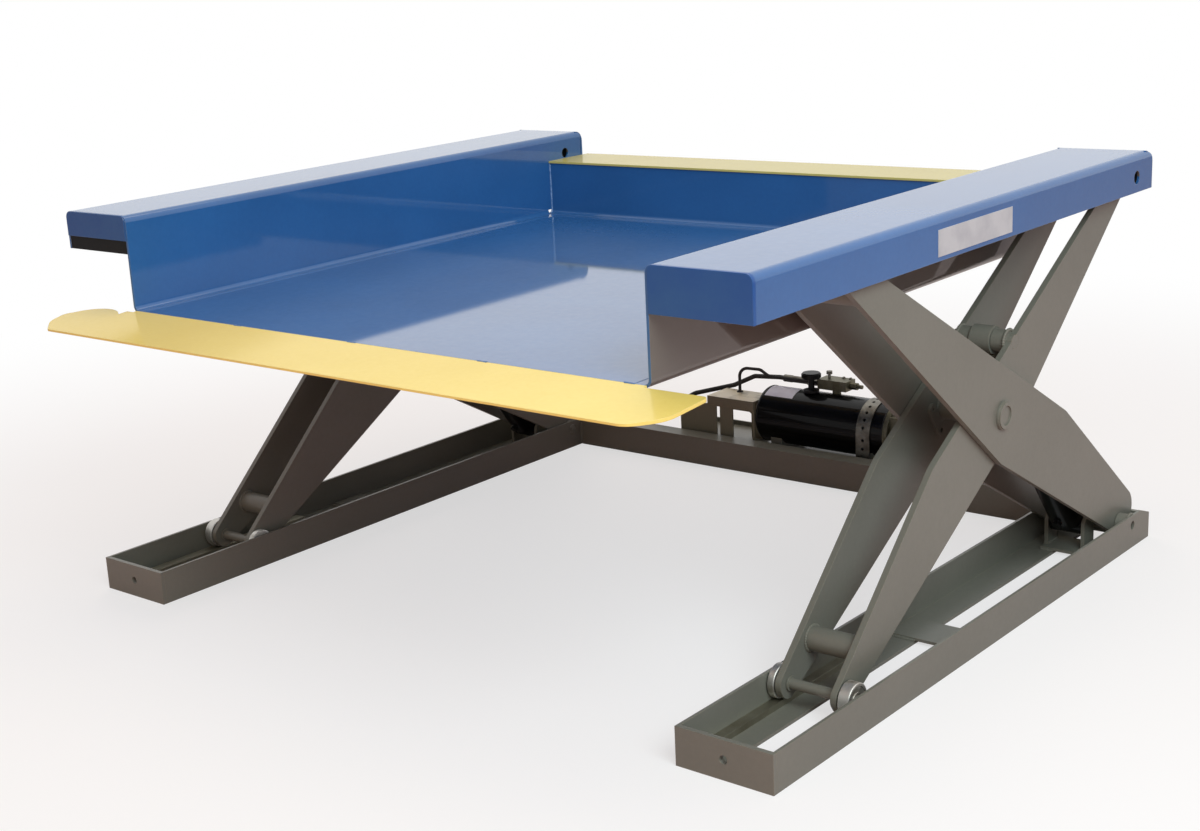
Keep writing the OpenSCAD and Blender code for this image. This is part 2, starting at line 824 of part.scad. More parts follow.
// Rod eye with the socket that the rod is screwed into.
module rod_eye() {
  on_cylinder() difference() {
    union() {
      translate([0, 0, socket_z - 22]) cylinder(h = 26, r = rod_r + 5);
      translate([0, 0, cyl_len]) rotate([0, 90, 0]) cylinder(h = rod_eye_w, r = rod_eye_r, center = true);
    }
    translate([0, 0, socket_z - 23]) cylinder(h = 23, r = rod_r + 0.1);
    translate([0, 0, cyl_len]) rotate([0, 90, 0])
      cylinder(h = rod_eye_w + 2, r = eye_pin_r + run_fit, center = true);
  }
}

module right_cylinder_barrel() {
  color(black) cylinder_barrel();
}

module right_cylinder_rod() {
  color(bright) cylinder_rod();
}

module right_rod_eye() {
  color(steel_grey) rod_eye();
}

module left_cylinder_barrel() {
  color(black) translate([-2 * mid_x, 0, 0]) cylinder_barrel();
}

module left_cylinder_rod() {
  color(bright) translate([-2 * mid_x, 0, 0]) cylinder_rod();
}

module left_rod_eye() {
  color(steel_grey) translate([-2 * mid_x, 0, 0]) rod_eye();
}

// ---- platform --------------------------------------------------------------

module deck() {
  color(blue) block([-deck_half + 30, 0, deck_z - sheet_t], [deck_half - 30, deck_len - 15, deck_z]);
}

module back_wall() {
  color(blue) along_x(-deck_half, deck_half) {
    translate([deck_len - 15, deck_z - sheet_t]) square([5, sheet_t]);
    bend([deck_len - bend_r, deck_z + bend_r], [1, -1], bend_r, sheet_t);
    translate([deck_len, deck_z + bend_r]) square([sheet_t, back_h - bend_r - sheet_t]);
  }
}

// Section of one side: lip, wall, wing top and outer flange.
module wing_section(lip) {
  if (lip) {
    translate([deck_half - 30, deck_z - sheet_t]) square([30 - bend_r, sheet_t]);
    bend([deck_half - bend_r, deck_z + bend_r], [1, -1], bend_r, sheet_t);
  }
  translate([deck_half, deck_z + bend_r]) square([sheet_t, wall_h - bend_r - nose_r]);
  bend([deck_half + nose_r, wing_z - nose_r], [-1, 1], nose_r - sheet_t, sheet_t);
  translate([deck_half + nose_r, wing_z - sheet_t]) square([wing_w - 2 * nose_r, sheet_t]);
  bend([wing_out - nose_r, wing_z - nose_r], [1, 1], nose_r - sheet_t, sheet_t);
  translate([wing_out - sheet_t, wing_z - flange_h]) square([sheet_t, flange_h - nose_r]);
}

module wing() {
  difference() {
    union() {
      along_y(0, deck_len - 15) wing_section(true);
      along_y(deck_len - 15, wing_len) wing_section(false);
    }
    // the wall behind the back wall stops at the ledge
    block([deck_half - 1, deck_len + sheet_t, deck_z - 10],
      [deck_half + sheet_t + 1, wing_len + 1, ledge_z - sheet_t]);
    block([deck_half - 1, wing_len - 14, ledge_z - sheet_t - 1],
      [deck_half + sheet_t, wing_len + 1, wing_z + 1]);
    // room for the rear cap and the rounded tail
    block([deck_half + sheet_t, wing_len - tail_r, wing_z - tail_r - 2],
      [wing_out - sheet_t, wing_len + 1, wing_z + 1]);
    along_x(deck_half - 1, wing_out + 1) difference() {
      translate([wing_len - tail_r, wing_z - tail_r]) square(tail_r + 2);
      translate([wing_len - tail_r, wing_z - tail_r]) circle(r = tail_r);
    }
    bar_x(pivot_y, top_z, deck_half - 1, deck_half + sheet_t + 1, shaft_r + 0.1);
    bar_x(pivot_y, top_z, wing_out - sheet_t - 1, wing_out + 1, shaft_r + 1);
  }
}

module right_wing() {
  color(blue) wing();
}

module left_wing() {
  color(blue) mirror([1, 0, 0]) wing();
}

// Outline of a front cap with the rounded top corners of the wing.
module cap_outline(z0) {
  x0 = deck_half + sheet_t + 0.1;
  x1 = wing_out - sheet_t - 0.1;
  r = nose_r - sheet_t;
  z1 = wing_z - sheet_t - 0.1;
  translate([x0, z0]) square([x1 - x0, z1 - r - z0]);
  translate([x0 + r, z0]) square([x1 - x0 - 2 * r, z1 - z0]);
  translate([x0 + r, z1 - r]) circle(r = r);
  translate([x1 - r, z1 - r]) circle(r = r);
}

module wing_front_caps() {
  color(blue) {
    along_y(2, 7) cap_outline(wing_z - flange_h);
    mirror([1, 0, 0]) along_y(2, 7) cap_outline(wing_z - flange_h + 27);
  }
}

// Rubber strip under the shorter cap of the left wing.
module left_wing_bumper() {
  color(black) block([-wing_out + sheet_t + 0.1, 1, wing_z - flange_h],
    [-deck_half - sheet_t - 0.1, 11, wing_z - flange_h + 27]);
}

module wing_rear_caps() {
  x0 = deck_half + sheet_t;
  x1 = wing_out - sheet_t;
  color(blue) both_sides() along_x(x0, x1) {
    bend([wing_len - tail_r, wing_z - tail_r], [1, 1], tail_r - sheet_t, sheet_t);
    translate([wing_len - sheet_t, wing_z - flange_h]) square([sheet_t, flange_h - tail_r]);
  }
}

module rear_ledge() {
  y1 = deck_len + ledge_depth;
  color(yellow) {
    block([-deck_half, deck_len - 4, ledge_z - sheet_t], [deck_half, y1, ledge_z]);
    block([-deck_half, y1 - sheet_t, ledge_z - 25], [deck_half, y1, ledge_z - sheet_t]);
  }
}

// Plan of the ramp plate: the right end is straight, the left end is notched behind.
module ramp_plan() {
  toe = -ramp_len * 1.003;
  right = deck_half + 122;
  left = -deck_half - 153;
  notch = -53;
  translate([-deck_half + 4, toe]) square([2 * deck_half - 8, -toe - 0.5]);
  rounded_outline([[0, -10], [0, toe], [right - 48, toe], [right - 1, toe + 50], [right, -10]],
    [1, 1, 30, 60, 9]);
  rounded_outline([[0, notch], [left, notch], [left + 26, toe + 42], [left + 78, toe], [0, toe]],
    [1, 24, 70, 14, 1]);
  translate([-deck_half - 16, notch - 30]) square([200, 20 - notch]);
  translate([-deck_half - 36, notch]) difference() {
    translate([0, -1]) square(21);
    translate([0, 20]) circle(r = 20);
  }
}

module ramp() {
  slope = atan2(ramp_drop, ramp_len);
  color(yellow) difference() {
    translate([0, 0, deck_z]) rotate([slope, 0, 0]) translate([0, 0, -ramp_t])
      linear_extrude(height = ramp_t) ramp_plan();
    // bevel under the toe
    along_x(-deck_half - 200, deck_half + 200)
      polygon([[-ramp_len - 10, deck_z - ramp_drop - 14], [-ramp_len - 10, deck_z - ramp_drop - 4],
        [-ramp_len + 22, deck_z - ramp_drop - 4.5], [-ramp_len + 22, deck_z - ramp_drop - 14]]);
  }
}

// Flat bars under the deck.
module deck_stiffeners() {
  pitch = (deck_half - 160) / 2;
  color(blue) for (i = [-2:2])
    block([i * pitch - 30, 20, deck_z - sheet_t - 8], [i * pitch + 30, deck_len - 20, deck_z - sheet_t]);
}

// Tracks under the wings for the top rollers.
module top_wear_strips() {
  color(bright) both_sides() {
    block([b_out + 0.5, track_y0, track_under], [b_out + 24, track_y1 - 25, wing_z - sheet_t]);
    block([a_in - 24, track_y0, track_under], [a_in - 0.5, track_y1 - 25, wing_z - sheet_t]);
  }
}

// Rear pivot shafts with their collars inside the wings.
module platform_shafts() {
  x0 = deck_half + sheet_t;
  x1 = wing_out - sheet_t;
  color(bright) both_sides() {
    bar_x(pivot_y, top_z, x0 + 14, x1 - 10, shaft_r);
    tube_x(pivot_y, top_z, x0, d_in - 1, boss_r, shaft_r);
    tube_x(pivot_y, top_z, c_out + 1, x1, boss_r, shaft_r);
  }
}

// Bare plate on the outer face of the right wing.
module nameplate() {
  color(bright) block([wing_out, 560, wing_z - flange_h + 8], [wing_out + 1, 836, wing_z - 24]);
}

// ---- assembly --------------------------------------------------------------

translate([0, -y_mid, 0]) {
  inner_rails();
  outer_rails();
  base_front_plates();
  base_rear_plates();
  base_wear_strips();
  base_straps();
  rear_cross_tube();
  base_pivot_shafts();
  base_pivot_bosses();
  cylinder_brackets();
  power_unit_tray();
  oil_tank();
  tank_strap();
  breather_cap();
  valve_block();
  valve_knob();
  pump_body();
  motor();
  hose_fittings();
  hose_clips();
  hydraulic_hoses();
  control_cable();
  hose_stand();
  right_outer_arm_plates();
  right_outer_arm_tubes();
  right_centre_pin();
  left_outer_arm_plates();
  left_outer_arm_tubes();
  left_centre_pin();
  right_inner_arm_plates();
  right_inner_arm_tubes();
  left_inner_arm_plates();
  left_inner_arm_tubes();
  right_top_axle();
  right_top_rollers();
  left_top_axle();
  left_top_rollers();
  right_bottom_axle();
  right_bottom_rollers();
  left_bottom_axle();
  left_bottom_rollers();
  right_cylinder_barrel();
  right_cylinder_rod();
  right_rod_eye();
  left_cylinder_barrel();
  left_cylinder_rod();
  left_rod_eye();
  deck();
  back_wall();
  right_wing();
  left_wing();
  wing_front_caps();
  wing_rear_caps();
  left_wing_bumper();
  rear_ledge();
  ramp();
  deck_stiffeners();
  top_wear_strips();
  platform_shafts();
  nameplate();
}
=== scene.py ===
"""Looks of a floor-height scissor lift table: finishes, weld beads, fasteners, floor and light.

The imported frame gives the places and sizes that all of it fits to. Meshes are in metres in that frame,
and the sizes of finishes and sub-assemblies are written in millimetres.
"""
import json
import logging
import math
from collections.abc import Callable, Sequence
from dataclasses import dataclass, field
from enum import Enum
from functools import partial

import bmesh
import bpy
from mathutils import Matrix, Vector


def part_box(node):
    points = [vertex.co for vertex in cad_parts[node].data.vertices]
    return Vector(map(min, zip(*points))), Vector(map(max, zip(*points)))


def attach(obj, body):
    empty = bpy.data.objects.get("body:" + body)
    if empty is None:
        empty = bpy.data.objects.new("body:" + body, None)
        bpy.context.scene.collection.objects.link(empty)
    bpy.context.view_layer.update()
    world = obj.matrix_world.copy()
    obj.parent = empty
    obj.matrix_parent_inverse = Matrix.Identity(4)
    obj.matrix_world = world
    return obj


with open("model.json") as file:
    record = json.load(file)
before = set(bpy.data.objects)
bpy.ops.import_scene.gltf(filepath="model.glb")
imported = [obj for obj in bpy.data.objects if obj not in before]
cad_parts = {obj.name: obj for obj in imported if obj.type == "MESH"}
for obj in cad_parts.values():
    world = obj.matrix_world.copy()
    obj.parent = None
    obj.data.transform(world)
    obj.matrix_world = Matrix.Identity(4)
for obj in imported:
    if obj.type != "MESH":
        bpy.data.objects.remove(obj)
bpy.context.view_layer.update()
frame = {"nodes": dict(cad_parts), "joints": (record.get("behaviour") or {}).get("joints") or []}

LOG = logging.getLogger("lift_table")
MM = 0.001
# sub-assemblies count their millimetres along Y from the front of the two bases
BASE_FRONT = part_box("base_front_plates")[0].y
SIDES = {"right": 1.0, "left": -1.0}
# edges that turn by more degrees than this stay hard, on small parts and on slabs
SMALL_CREASE, SLAB_CREASE = 32, 40
# facets of a turned part, and the distance in millimetres at which two of its points are one
TURNED_STEPS, SAME_PLACE = 48, 1e-6
# rays that find the rounded normal of an edge
BEVEL_SAMPLES = 4
UP, LEFT, RIGHT = (0.0, 0.0, 1.0), (-1.0, 0.0, 0.0), (1.0, 0.0, 0.0)
Point = tuple[float, float, float]
Profile = Sequence[tuple[float, float]]
Object = bpy.types.Object
Socket = bpy.types.NodeSocket
Adder = Callable[..., Socket]


# ---- small helpers -----------------------------------------------------------


def linear(code: str) -> tuple[float, float, float, float]:
    """Turn an sRGB hex colour into the linear colour that a shader socket takes.

    Args:
        code: Colour such as "#336699".

    Returns:
        Linear red, green, blue and an alpha of 1.
    """
    parts = [int(code[i:i + 2], 16) / 255 for i in (1, 3, 5)]
    curve = [p / 12.92 if p <= 0.04045 else ((p + 0.055) / 1.055) ** 2.4 for p in parts]
    return (*curve, 1.0)


def per_mm(size_mm: float) -> float:
    """Return the texture scale at which one feature is size_mm wide."""
    return 1.0 / (size_mm * MM)


def to_frame(point: Sequence[float]) -> Vector:
    """Turn a point in millimetres, y from the front of the bases, into metres in the frame."""
    return Vector((point[0] * MM, point[1] * MM + BASE_FRONT, point[2] * MM))


def from_frame(point: Vector) -> Vector:
    """Turn a point of the frame into millimetres, y from the front of the bases."""
    return Vector((point[0], point[1] - BASE_FRONT, point[2])) / MM


def extent(node: str) -> tuple[Vector, Vector]:
    """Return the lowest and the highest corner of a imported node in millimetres."""
    low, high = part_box(node)
    return from_frame(low), from_frame(high)


def joint_place(name: str) -> Vector:
    """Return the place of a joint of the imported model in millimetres."""
    joint = next(j for j in frame["joints"] if j["name"] == name)
    return from_frame(Vector(joint["pos_m"]))


def add_node(tree: bpy.types.NodeTree, kind: str, inputs: dict | None = None, out: int | str = 0,
             **settings) -> Socket | None:
    """Add a node, set its properties, and fill or link its sockets.

    Args:
        tree: Node tree that takes the node.
        kind: Node type name.
        inputs: Socket name or index to a value, to an output that is linked, or to a list of them.
        out: Name or index of the output that is handed back.
        **settings: Node properties such as an operation.

    Returns:
        That output of the new node, or None for a node that has no output.
    """
    node = tree.nodes.new(kind)
    for name, value in settings.items():
        setattr(node, name, value)
    for key, value in (inputs or {}).items():
        sources = value if isinstance(value, list) else [value]
        if isinstance(sources[0], Socket):
            for source in sources:
                tree.links.new(source, node.inputs[key])
        else:
            node.inputs[key].default_value = value
    return node.outputs[out] if node.outputs else None


def open_tree(owner: bpy.types.Material | bpy.types.World) -> Adder:
    """Empty the node tree of a material or of the surround.

    Args:
        owner: Material or world.

    Returns:
        What adds a node to its tree.
    """
    owner.use_nodes = True
    owner.node_tree.nodes.clear()
    return partial(add_node, owner.node_tree)


def show(name: str, data: bpy.types.ID) -> Object:
    """Make an object of a mesh, a camera or a lamp at the origin and link it to the scene."""
    bpy.context.scene.collection.objects.link(obj := bpy.data.objects.new(name, data))
    return obj


def mesh_object(name: str, verts: Sequence[Point], edges: Sequence, faces: Sequence) -> Object:
    """Make a mesh object from plain lists.

    Args:
        name: Object name.
        verts: Points in the frame.
        edges: Pairs of point numbers.
        faces: Tuples of point numbers.

    Returns:
        The new mesh object.
    """
    mesh = bpy.data.meshes.new(name)
    mesh.from_pydata(list(verts), list(edges), list(faces))
    return show(name, mesh)


def smooth_solid(name: str, shape: bmesh.types.BMesh, crease: float) -> Object:
    """Turn a closed shape into an object that is smooth between its creases.

    Args:
        name: Object name.
        shape: The shape, which is used up.
        crease: Angle in degrees above which an edge stays hard.

    Returns:
        The new mesh object.
    """
    mesh = bpy.data.meshes.new(name)
    shape.to_mesh(mesh)
    shape.free()
    mesh.shade_smooth()
    mesh.set_sharp_from_angle(angle=math.radians(crease))
    return show(name, mesh)


def closed_slab(name: str, rings: Sequence[Sequence[Point]]) -> Object:
    """Skin a row of equal rings of points and close both ends.

    Args:
        name: Object name.
        rings: Rings of points in millimetres, from one end to the other.

    Returns:
        A closed mesh object.
    """
    count = len(rings[0])
    faces = [range(count), range((len(rings) - 1) * count, len(rings) * count)]
    for row in range(len(rings) - 1):
        for i in range(count):
            a, b = row * count + i, row * count + (i + 1) % count
            faces.append((a, b, b + count, a + count))
    shape = bmesh.new()
    verts = [shape.verts.new(to_frame(point)) for ring in rings for point in ring]
    for face in faces:
        shape.faces.new([verts[i] for i in face])
    bmesh.ops.recalc_face_normals(shape, faces=shape.faces[:])
    return smooth_solid(name, shape, SLAB_CREASE)


def turned_part(name: str, profile: Profile, place: Point, facing: Point) -> Object:
    """Turn a small part and set it in place.

    Args:
        name: Object name.
        profile: Radius and height of each corner in millimetres, from the foot of the axis to its top.
        place: Where the foot of the axis lies, in millimetres.
        facing: Way that the axis runs.

    Returns:
        A closed mesh object.
    """
    shape = bmesh.new()
    ring = [shape.verts.new((r, 0.0, z)) for r, z in profile]
    for low, high in zip(ring, ring[1:]):
        shape.edges.new((low, high))
    bmesh.ops.spin(shape, geom=shape.verts[:] + shape.edges[:], axis=UP, cent=(0, 0, 0),
                   angle=math.tau, steps=TURNED_STEPS, use_duplicate=False)
    bmesh.ops.remove_doubles(shape, verts=shape.verts[:], dist=SAME_PLACE)
    bmesh.ops.recalc_face_normals(shape, faces=shape.faces[:])
    turn = Vector(facing).to_track_quat("Z", "Y").to_matrix().to_4x4()
    matrix = Matrix.Translation(to_frame(place)) @ turn @ Matrix.Scale(MM, 4)
    bmesh.ops.transform(shape, matrix=matrix, verts=shape.verts[:])
    return smooth_solid(name, shape, SMALL_CREASE)


def settle(obj: Object, body: str, finish: "Finish") -> None:
    """Coat a piece, ride it on its body and log it.

    Args:
        obj: Piece at the origin.
        body: CAD body that carries it.
        finish: Finish that it wears.
    """
    if not obj.data.materials:
        obj.data.materials.append(finish.material())
    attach(obj, body)
    LOG.info("made %s on %s, %d faces", obj.name, body, len(obj.data.polygons))


# ---- repeated work: geometry node patterns -------------------------------------


@dataclass
class Guide:
    """Seams and seats in millimetres, gathered as plain lists, that a pattern is run along."""

    verts: list[Point] = field(default_factory=list)
    edges: list[tuple[int, int]] = field(default_factory=list)
    facing: list[Point] = field(default_factory=list)

    def line(self, *points: Point) -> None:
        """Add an open seam through points.

        Args:
            *points: Points in millimetres.
        """
        first = len(self.verts)
        self.verts += [tuple(p) for p in points]
        self.edges += [(i, i + 1) for i in range(first, len(self.verts) - 1)]

    def stitches(self, start: Point, end: Point, run: float, pitch: float) -> None:
        """Add short runs of seam along a straight line, one every pitch.

        Args:
            start: One end of the line.
            end: Its other end.
            run: Length of a run.
            pitch: Distance from one run to the next.
        """
        first, way = Vector(start), Vector(end) - Vector(start)
        count = int((way.length - run) // pitch) + 1
        lead = (way.length - (count - 1) * pitch - run) / 2
        way.normalize()
        for i in range(count):
            near = first + way * (lead + i * pitch)
            self.line(near, near + way * run)

    def ring(self, x: float, y: float, z: float, radius: float, steps: int = 36) -> None:
        """Add a closed round seam about an axis along X.

        Args:
            x: Place of the seam along the axis.
            y: Where the axis lies.
            z: Height of the axis.
            radius: Radius of the seam.
            steps: Number of its corners.
        """
        first = len(self.verts)
        turns = [math.tau * i / steps for i in range(steps)]
        self.verts += [(x, y + radius * math.cos(a), z + radius * math.sin(a)) for a in turns]
        self.edges += [(first + i, first + (i + 1) % steps) for i in range(steps)]

    def seat(self, point: Point, facing: Point) -> None:
        """Add a seat for one fastener and the way that it faces."""
        self.verts.append(point)
        self.facing.append(facing)

    def mirror(self) -> None:
        """Add all that is there once more, on the other side of the table."""
        step = len(self.verts)
        self.edges += [(a + step, b + step) for a, b in self.edges]
        for points in (self.verts, self.facing):
            points += [(-x, y, z) for x, y, z in points]

    def mesh(self, name: str) -> Object:
        """Make the guide a mesh object that carries its facings.

        Args:
            name: Object name.

        Returns:
            The guide object.
        """
        obj = mesh_object(name, [to_frame(v) for v in self.verts], self.edges, [])
        if self.facing:
            layer = obj.data.attributes.new("facing", "FLOAT_VECTOR", "POINT")
            layer.data.foreach_set("vector", [v for way in self.facing for v in way])
        return obj


class Pattern:
    """A Geometry Nodes tree with named inputs that turns a guide into a finished mesh."""

    title = "pattern"

    def __init__(self) -> None:
        """Open the tree, let the kind of pattern draw itself, and close the tree."""
        self.tree = bpy.data.node_groups.new(self.title, "GeometryNodeTree")
        self.add = partial(add_node, self.tree)
        self.keys: dict[str, str] = {}
        self.tree.interface.new_socket("Geometry", in_out="OUTPUT", socket_type="NodeSocketGeometry")
        self.start = self.tree.nodes.new("NodeGroupInput")
        shape = self.draw(self.entry("Guide", "Geometry"))
        real = self.add("GeometryNodeRealizeInstances", {"Geometry": shape})
        coated = self.add("GeometryNodeSetMaterial",
                          {"Geometry": real, "Material": self.entry("Finish", "Material")})
        self.add("NodeGroupOutput", {"Geometry": coated})

    def entry(self, label: str, kind: str = "Float") -> Socket:
        """Add a named input of a kind such as Float or Int.

        Args:
            label: Name that the input shows.
            kind: Kind of its socket.

        Returns:
            Its socket inside the tree.
        """
        item = self.tree.interface.new_socket(label, in_out="INPUT", socket_type=f"NodeSocket{kind}")
        self.keys[label] = item.identifier
        return self.start.outputs[label]

    def sum(self, *parts: tuple[Socket, float]) -> Socket:
        """Add up sockets, each times its factor.

        Args:
            *parts: A socket and its factor.

        Returns:
            The socket with the sum.
        """
        total = self.add("ShaderNodeMath", dict(enumerate(parts[0])), operation="MULTIPLY")
        for part in parts[1:]:
            total = self.add("ShaderNodeMath", dict(enumerate((*part, total))), operation="MULTIPLY_ADD")
        return total

    def draw(self, guide: Socket) -> Socket:
        """Draw the pattern from its guide; every kind does this its own way."""
        raise NotImplementedError

    def make(self, name: str, guide: Guide, body: str, finish: "Finish", **sizes: float) -> None:
        """Run the pattern along a guide and keep the result as a plain mesh.

        Args:
            name: Name of the piece.
            guide: Seams or seats.
            body: CAD body that carries the piece.
            finish: Finish of the piece.
            **sizes: Inputs by name, with _ for a space, in metres where they are lengths.
        """
        base = guide.mesh(f"{name}_guide")
        modifier = base.modifiers.new(self.title, "NODES")
        modifier.node_group = self.tree
        modifier[self.keys["Finish"]] = finish.material()
        for label, value in sizes.items():
            modifier[self.keys[label.replace("_", " ")]] = value
        graph = bpy.context.evaluated_depsgraph_get()
        mesh = bpy.data.meshes.new_from_object(base.evaluated_get(graph), depsgraph=graph)
        base.modifiers.remove(modifier)
        bpy.data.objects.remove(base)
        mesh.name = name
        mesh.shade_smooth()
        mesh.set_sharp_from_angle(angle=math.radians(SMALL_CREASE))
        settle(show(name, mesh), body, finish)


class WeldBead(Pattern):
    """Hand-laid weld: a bead along each seam with the ripples of the torch and uneven width."""

    title = "weld_bead"
    steps_per_ripple = 5.0
    ripple_height = 0.14
    stray_mm = 26.0
    sides = 8

    def draw(self, guide: Socket) -> Socket:
        """Sweep a circle along the seams and let its size ripple.

        Args:
            guide: Seams.

        Returns:
            The beads.
        """
        add = self.add
        leg, ripple, uneven, seed = (self.entry(label) for label in ("Leg", "Ripple", "Uneven", "Seed"))
        step = add("ShaderNodeMath", {0: ripple, 1: self.steps_per_ripple}, operation="DIVIDE")
        path = add("GeometryNodeMeshToCurve", {"Mesh": guide})
        dots = add("GeometryNodeResampleCurve", {"Curve": path, "Length": step}, mode="LENGTH")
        along = add("GeometryNodeSplineParameter", out="Length")
        turn = add("ShaderNodeMath", {0: along, 1: ripple}, operation="DIVIDE")
        phase = add("ShaderNodeMath", {0: turn, 1: math.tau}, operation="MULTIPLY")
        wave = add("ShaderNodeMath", {0: phase}, operation="SINE")
        swell = add("ShaderNodeMath", {0: wave, 1: self.ripple_height, 2: 1.0}, operation="MULTIPLY_ADD")
        place = add("GeometryNodeInputPosition")
        stray = add("ShaderNodeTexNoise", {"Vector": place, "W": seed, "Scale": per_mm(self.stray_mm),
                                           "Detail": 2.0}, noise_dimensions="4D")
        centred = add("ShaderNodeMath", {0: stray, 1: 0.5}, operation="SUBTRACT")
        width = add("ShaderNodeMath", {0: centred, 1: uneven, 2: swell}, operation="MULTIPLY_ADD")
        radius = add("ShaderNodeMath", {0: width, 1: leg}, operation="MULTIPLY")
        bar = add("GeometryNodeCurvePrimitiveCircle", {"Resolution": self.sides, "Radius": 1.0})
        return add("GeometryNodeCurveToMesh",
                   {"Curve": dots, "Profile Curve": bar, "Scale": radius, "Fill Caps": True})


class Seated(Pattern):
    """A shape that is set on each seat of the guide, turned to face away from it."""

    def set_on(self, guide: Socket, shape: Socket, seed: Socket) -> Socket:
        """Put the shape on every seat, each spun by its own random angle.

        Args:
            guide: Seats with their facings.
            shape: Geometry that faces +Z.
            seed: Number that settles the spins.

        Returns:
            The instances.
        """
        add = self.add
        facing = add("GeometryNodeInputNamedAttribute", {"Name": "facing"}, data_type="FLOAT_VECTOR")
        turned = add("FunctionNodeAlignRotationToVector", {"Vector": facing}, axis="Z")
        # input 3 is the greatest and output 1 the value of a random number that is a float
        spin = add("FunctionNodeRandomValue", {"Seed": seed, 3: math.tau}, 1, data_type="FLOAT")
        about = add("ShaderNodeCombineXYZ", {"Z": spin})
        twist = add("FunctionNodeEulerToRotation", {"Euler": about})
        both = add("FunctionNodeRotateRotation", {"Rotation": turned, "Rotate By": twist},
                   rotation_space="LOCAL")
        return add("GeometryNodeInstanceOnPoints", {"Points": guide, "Instance": shape, "Rotation": both})

    def lift(self, shape: Socket, height: Socket) -> Socket:
        """Move a shape that faces +Z up its own axis by a height."""
        up = self.add("ShaderNodeCombineXYZ", {"Z": height})
        return self.add("GeometryNodeTransform", {"Geometry": shape, "Translation": up})


class Head(Enum):
    """Heads that a fastener may have, each with the number of its sides."""

    HEX = 6
    ROUND = 28


class Fasteners(Seated):
    """Screws on flat washers: a rolled head, the upper part of its height chamfered."""

    chamfer = 0.22
    crown = 0.8

    def __init__(self, head: Head) -> None:
        """Draw the tree.

        Args:
            head: Kind of head.
        """
        self.head = head
        self.title = f"{head.name.lower()}_head_screw"
        super().__init__()

    def draw(self, guide: Socket) -> Socket:
        """Stack a washer, a head and its chamfer, and set them on the seats.

        Args:
            guide: Seats with their facings.

        Returns:
            The screws.
        """
        labels = ("Head radius", "Head height", "Washer radius", "Washer height")
        radius, height, washer_r, washer_h = (self.entry(label) for label in labels)
        seed, sides, straight = self.entry("Seed", "Int"), self.head.value, 1 - self.chamfer
        washer = self.add("GeometryNodeMeshCylinder",
                          {"Vertices": Head.ROUND.value, "Radius": washer_r, "Depth": washer_h})
        head = self.add("GeometryNodeMeshCylinder",
                        {"Vertices": sides, "Radius": radius, "Depth": self.sum((height, straight))})
        top = self.add("GeometryNodeMeshCone",
                       {"Vertices": sides, "Radius Top": self.sum((radius, self.crown)),
                        "Radius Bottom": radius, "Depth": self.sum((height, self.chamfer))})
        parts = [self.lift(washer, self.sum((washer_h, 0.5))),
                 self.lift(head, self.sum((washer_h, 1.0), (height, straight / 2))),
                 self.lift(top, self.sum((washer_h, 1.0), (height, straight)))]
        return self.set_on(guide, self.add("GeometryNodeJoinGeometry", {"Geometry": parts}), seed)


class RibRing(Seated):
    """A ring of ribs about each seat: the grip of a cap or the cooling fins of a motor."""

    title = "rib_ring"

    def draw(self, guide: Socket) -> Socket:
        """Set flat ribs on a ring and the ring on the seats.

        Args:
            guide: Seats with their facings.

        Returns:
            The ribs.
        """
        add, entry = self.add, self.entry
        count, seed = entry("Count", "Int"), entry("Seed", "Int")
        ring_r, deep, wide = entry("Ring radius"), entry("Rib depth"), entry("Rib width")
        long = entry("Rib length")
        rib = add("GeometryNodeMeshCube", {"Size": add("ShaderNodeCombineXYZ", {0: deep, 1: wide, 2: long})})
        ring = add("GeometryNodeMeshCircle", {"Vertices": count, "Radius": ring_r})
        outward = add("FunctionNodeAlignRotationToVector", {"Vector": add("GeometryNodeInputPosition")},
                      axis="X")
        ribs = add("GeometryNodeInstanceOnPoints", {"Points": ring, "Instance": rib, "Rotation": outward})
        return self.set_on(guide, self.lift(ribs, self.sum((long, 0.5))), seed)


@dataclass
class Workshop:
    """The patterns that every sub-assembly draws on."""

    beads: WeldBead = field(default_factory=WeldBead)
    screws: dict[Head, Fasteners] = field(default_factory=lambda: {head: Fasteners(head) for head in Head})
    ribs: RibRing = field(default_factory=RibRing)


# ---- finishes ----------------------------------------------------------------


@dataclass(frozen=True)
class Finish:
    """A named surface and the record slot that it belongs to."""

    name: str
    slot: str

    def start(self) -> tuple[bpy.types.Material, Adder, Socket]:
        """Open an empty material.

        Returns:
            The material, what adds a node to it, and the socket with Object coordinates.
        """
        material = bpy.data.materials.new(self.name)
        add = open_tree(material)
        return material, add, add("ShaderNodeTexCoord", out="Object")

    def build(self) -> bpy.types.Material:
        """Make the material; every kind of finish does this its own way."""
        raise NotImplementedError

    def material(self) -> bpy.types.Material:
        """Return the finish's material, made once."""
        return bpy.data.materials.get(self.name) or self.build()


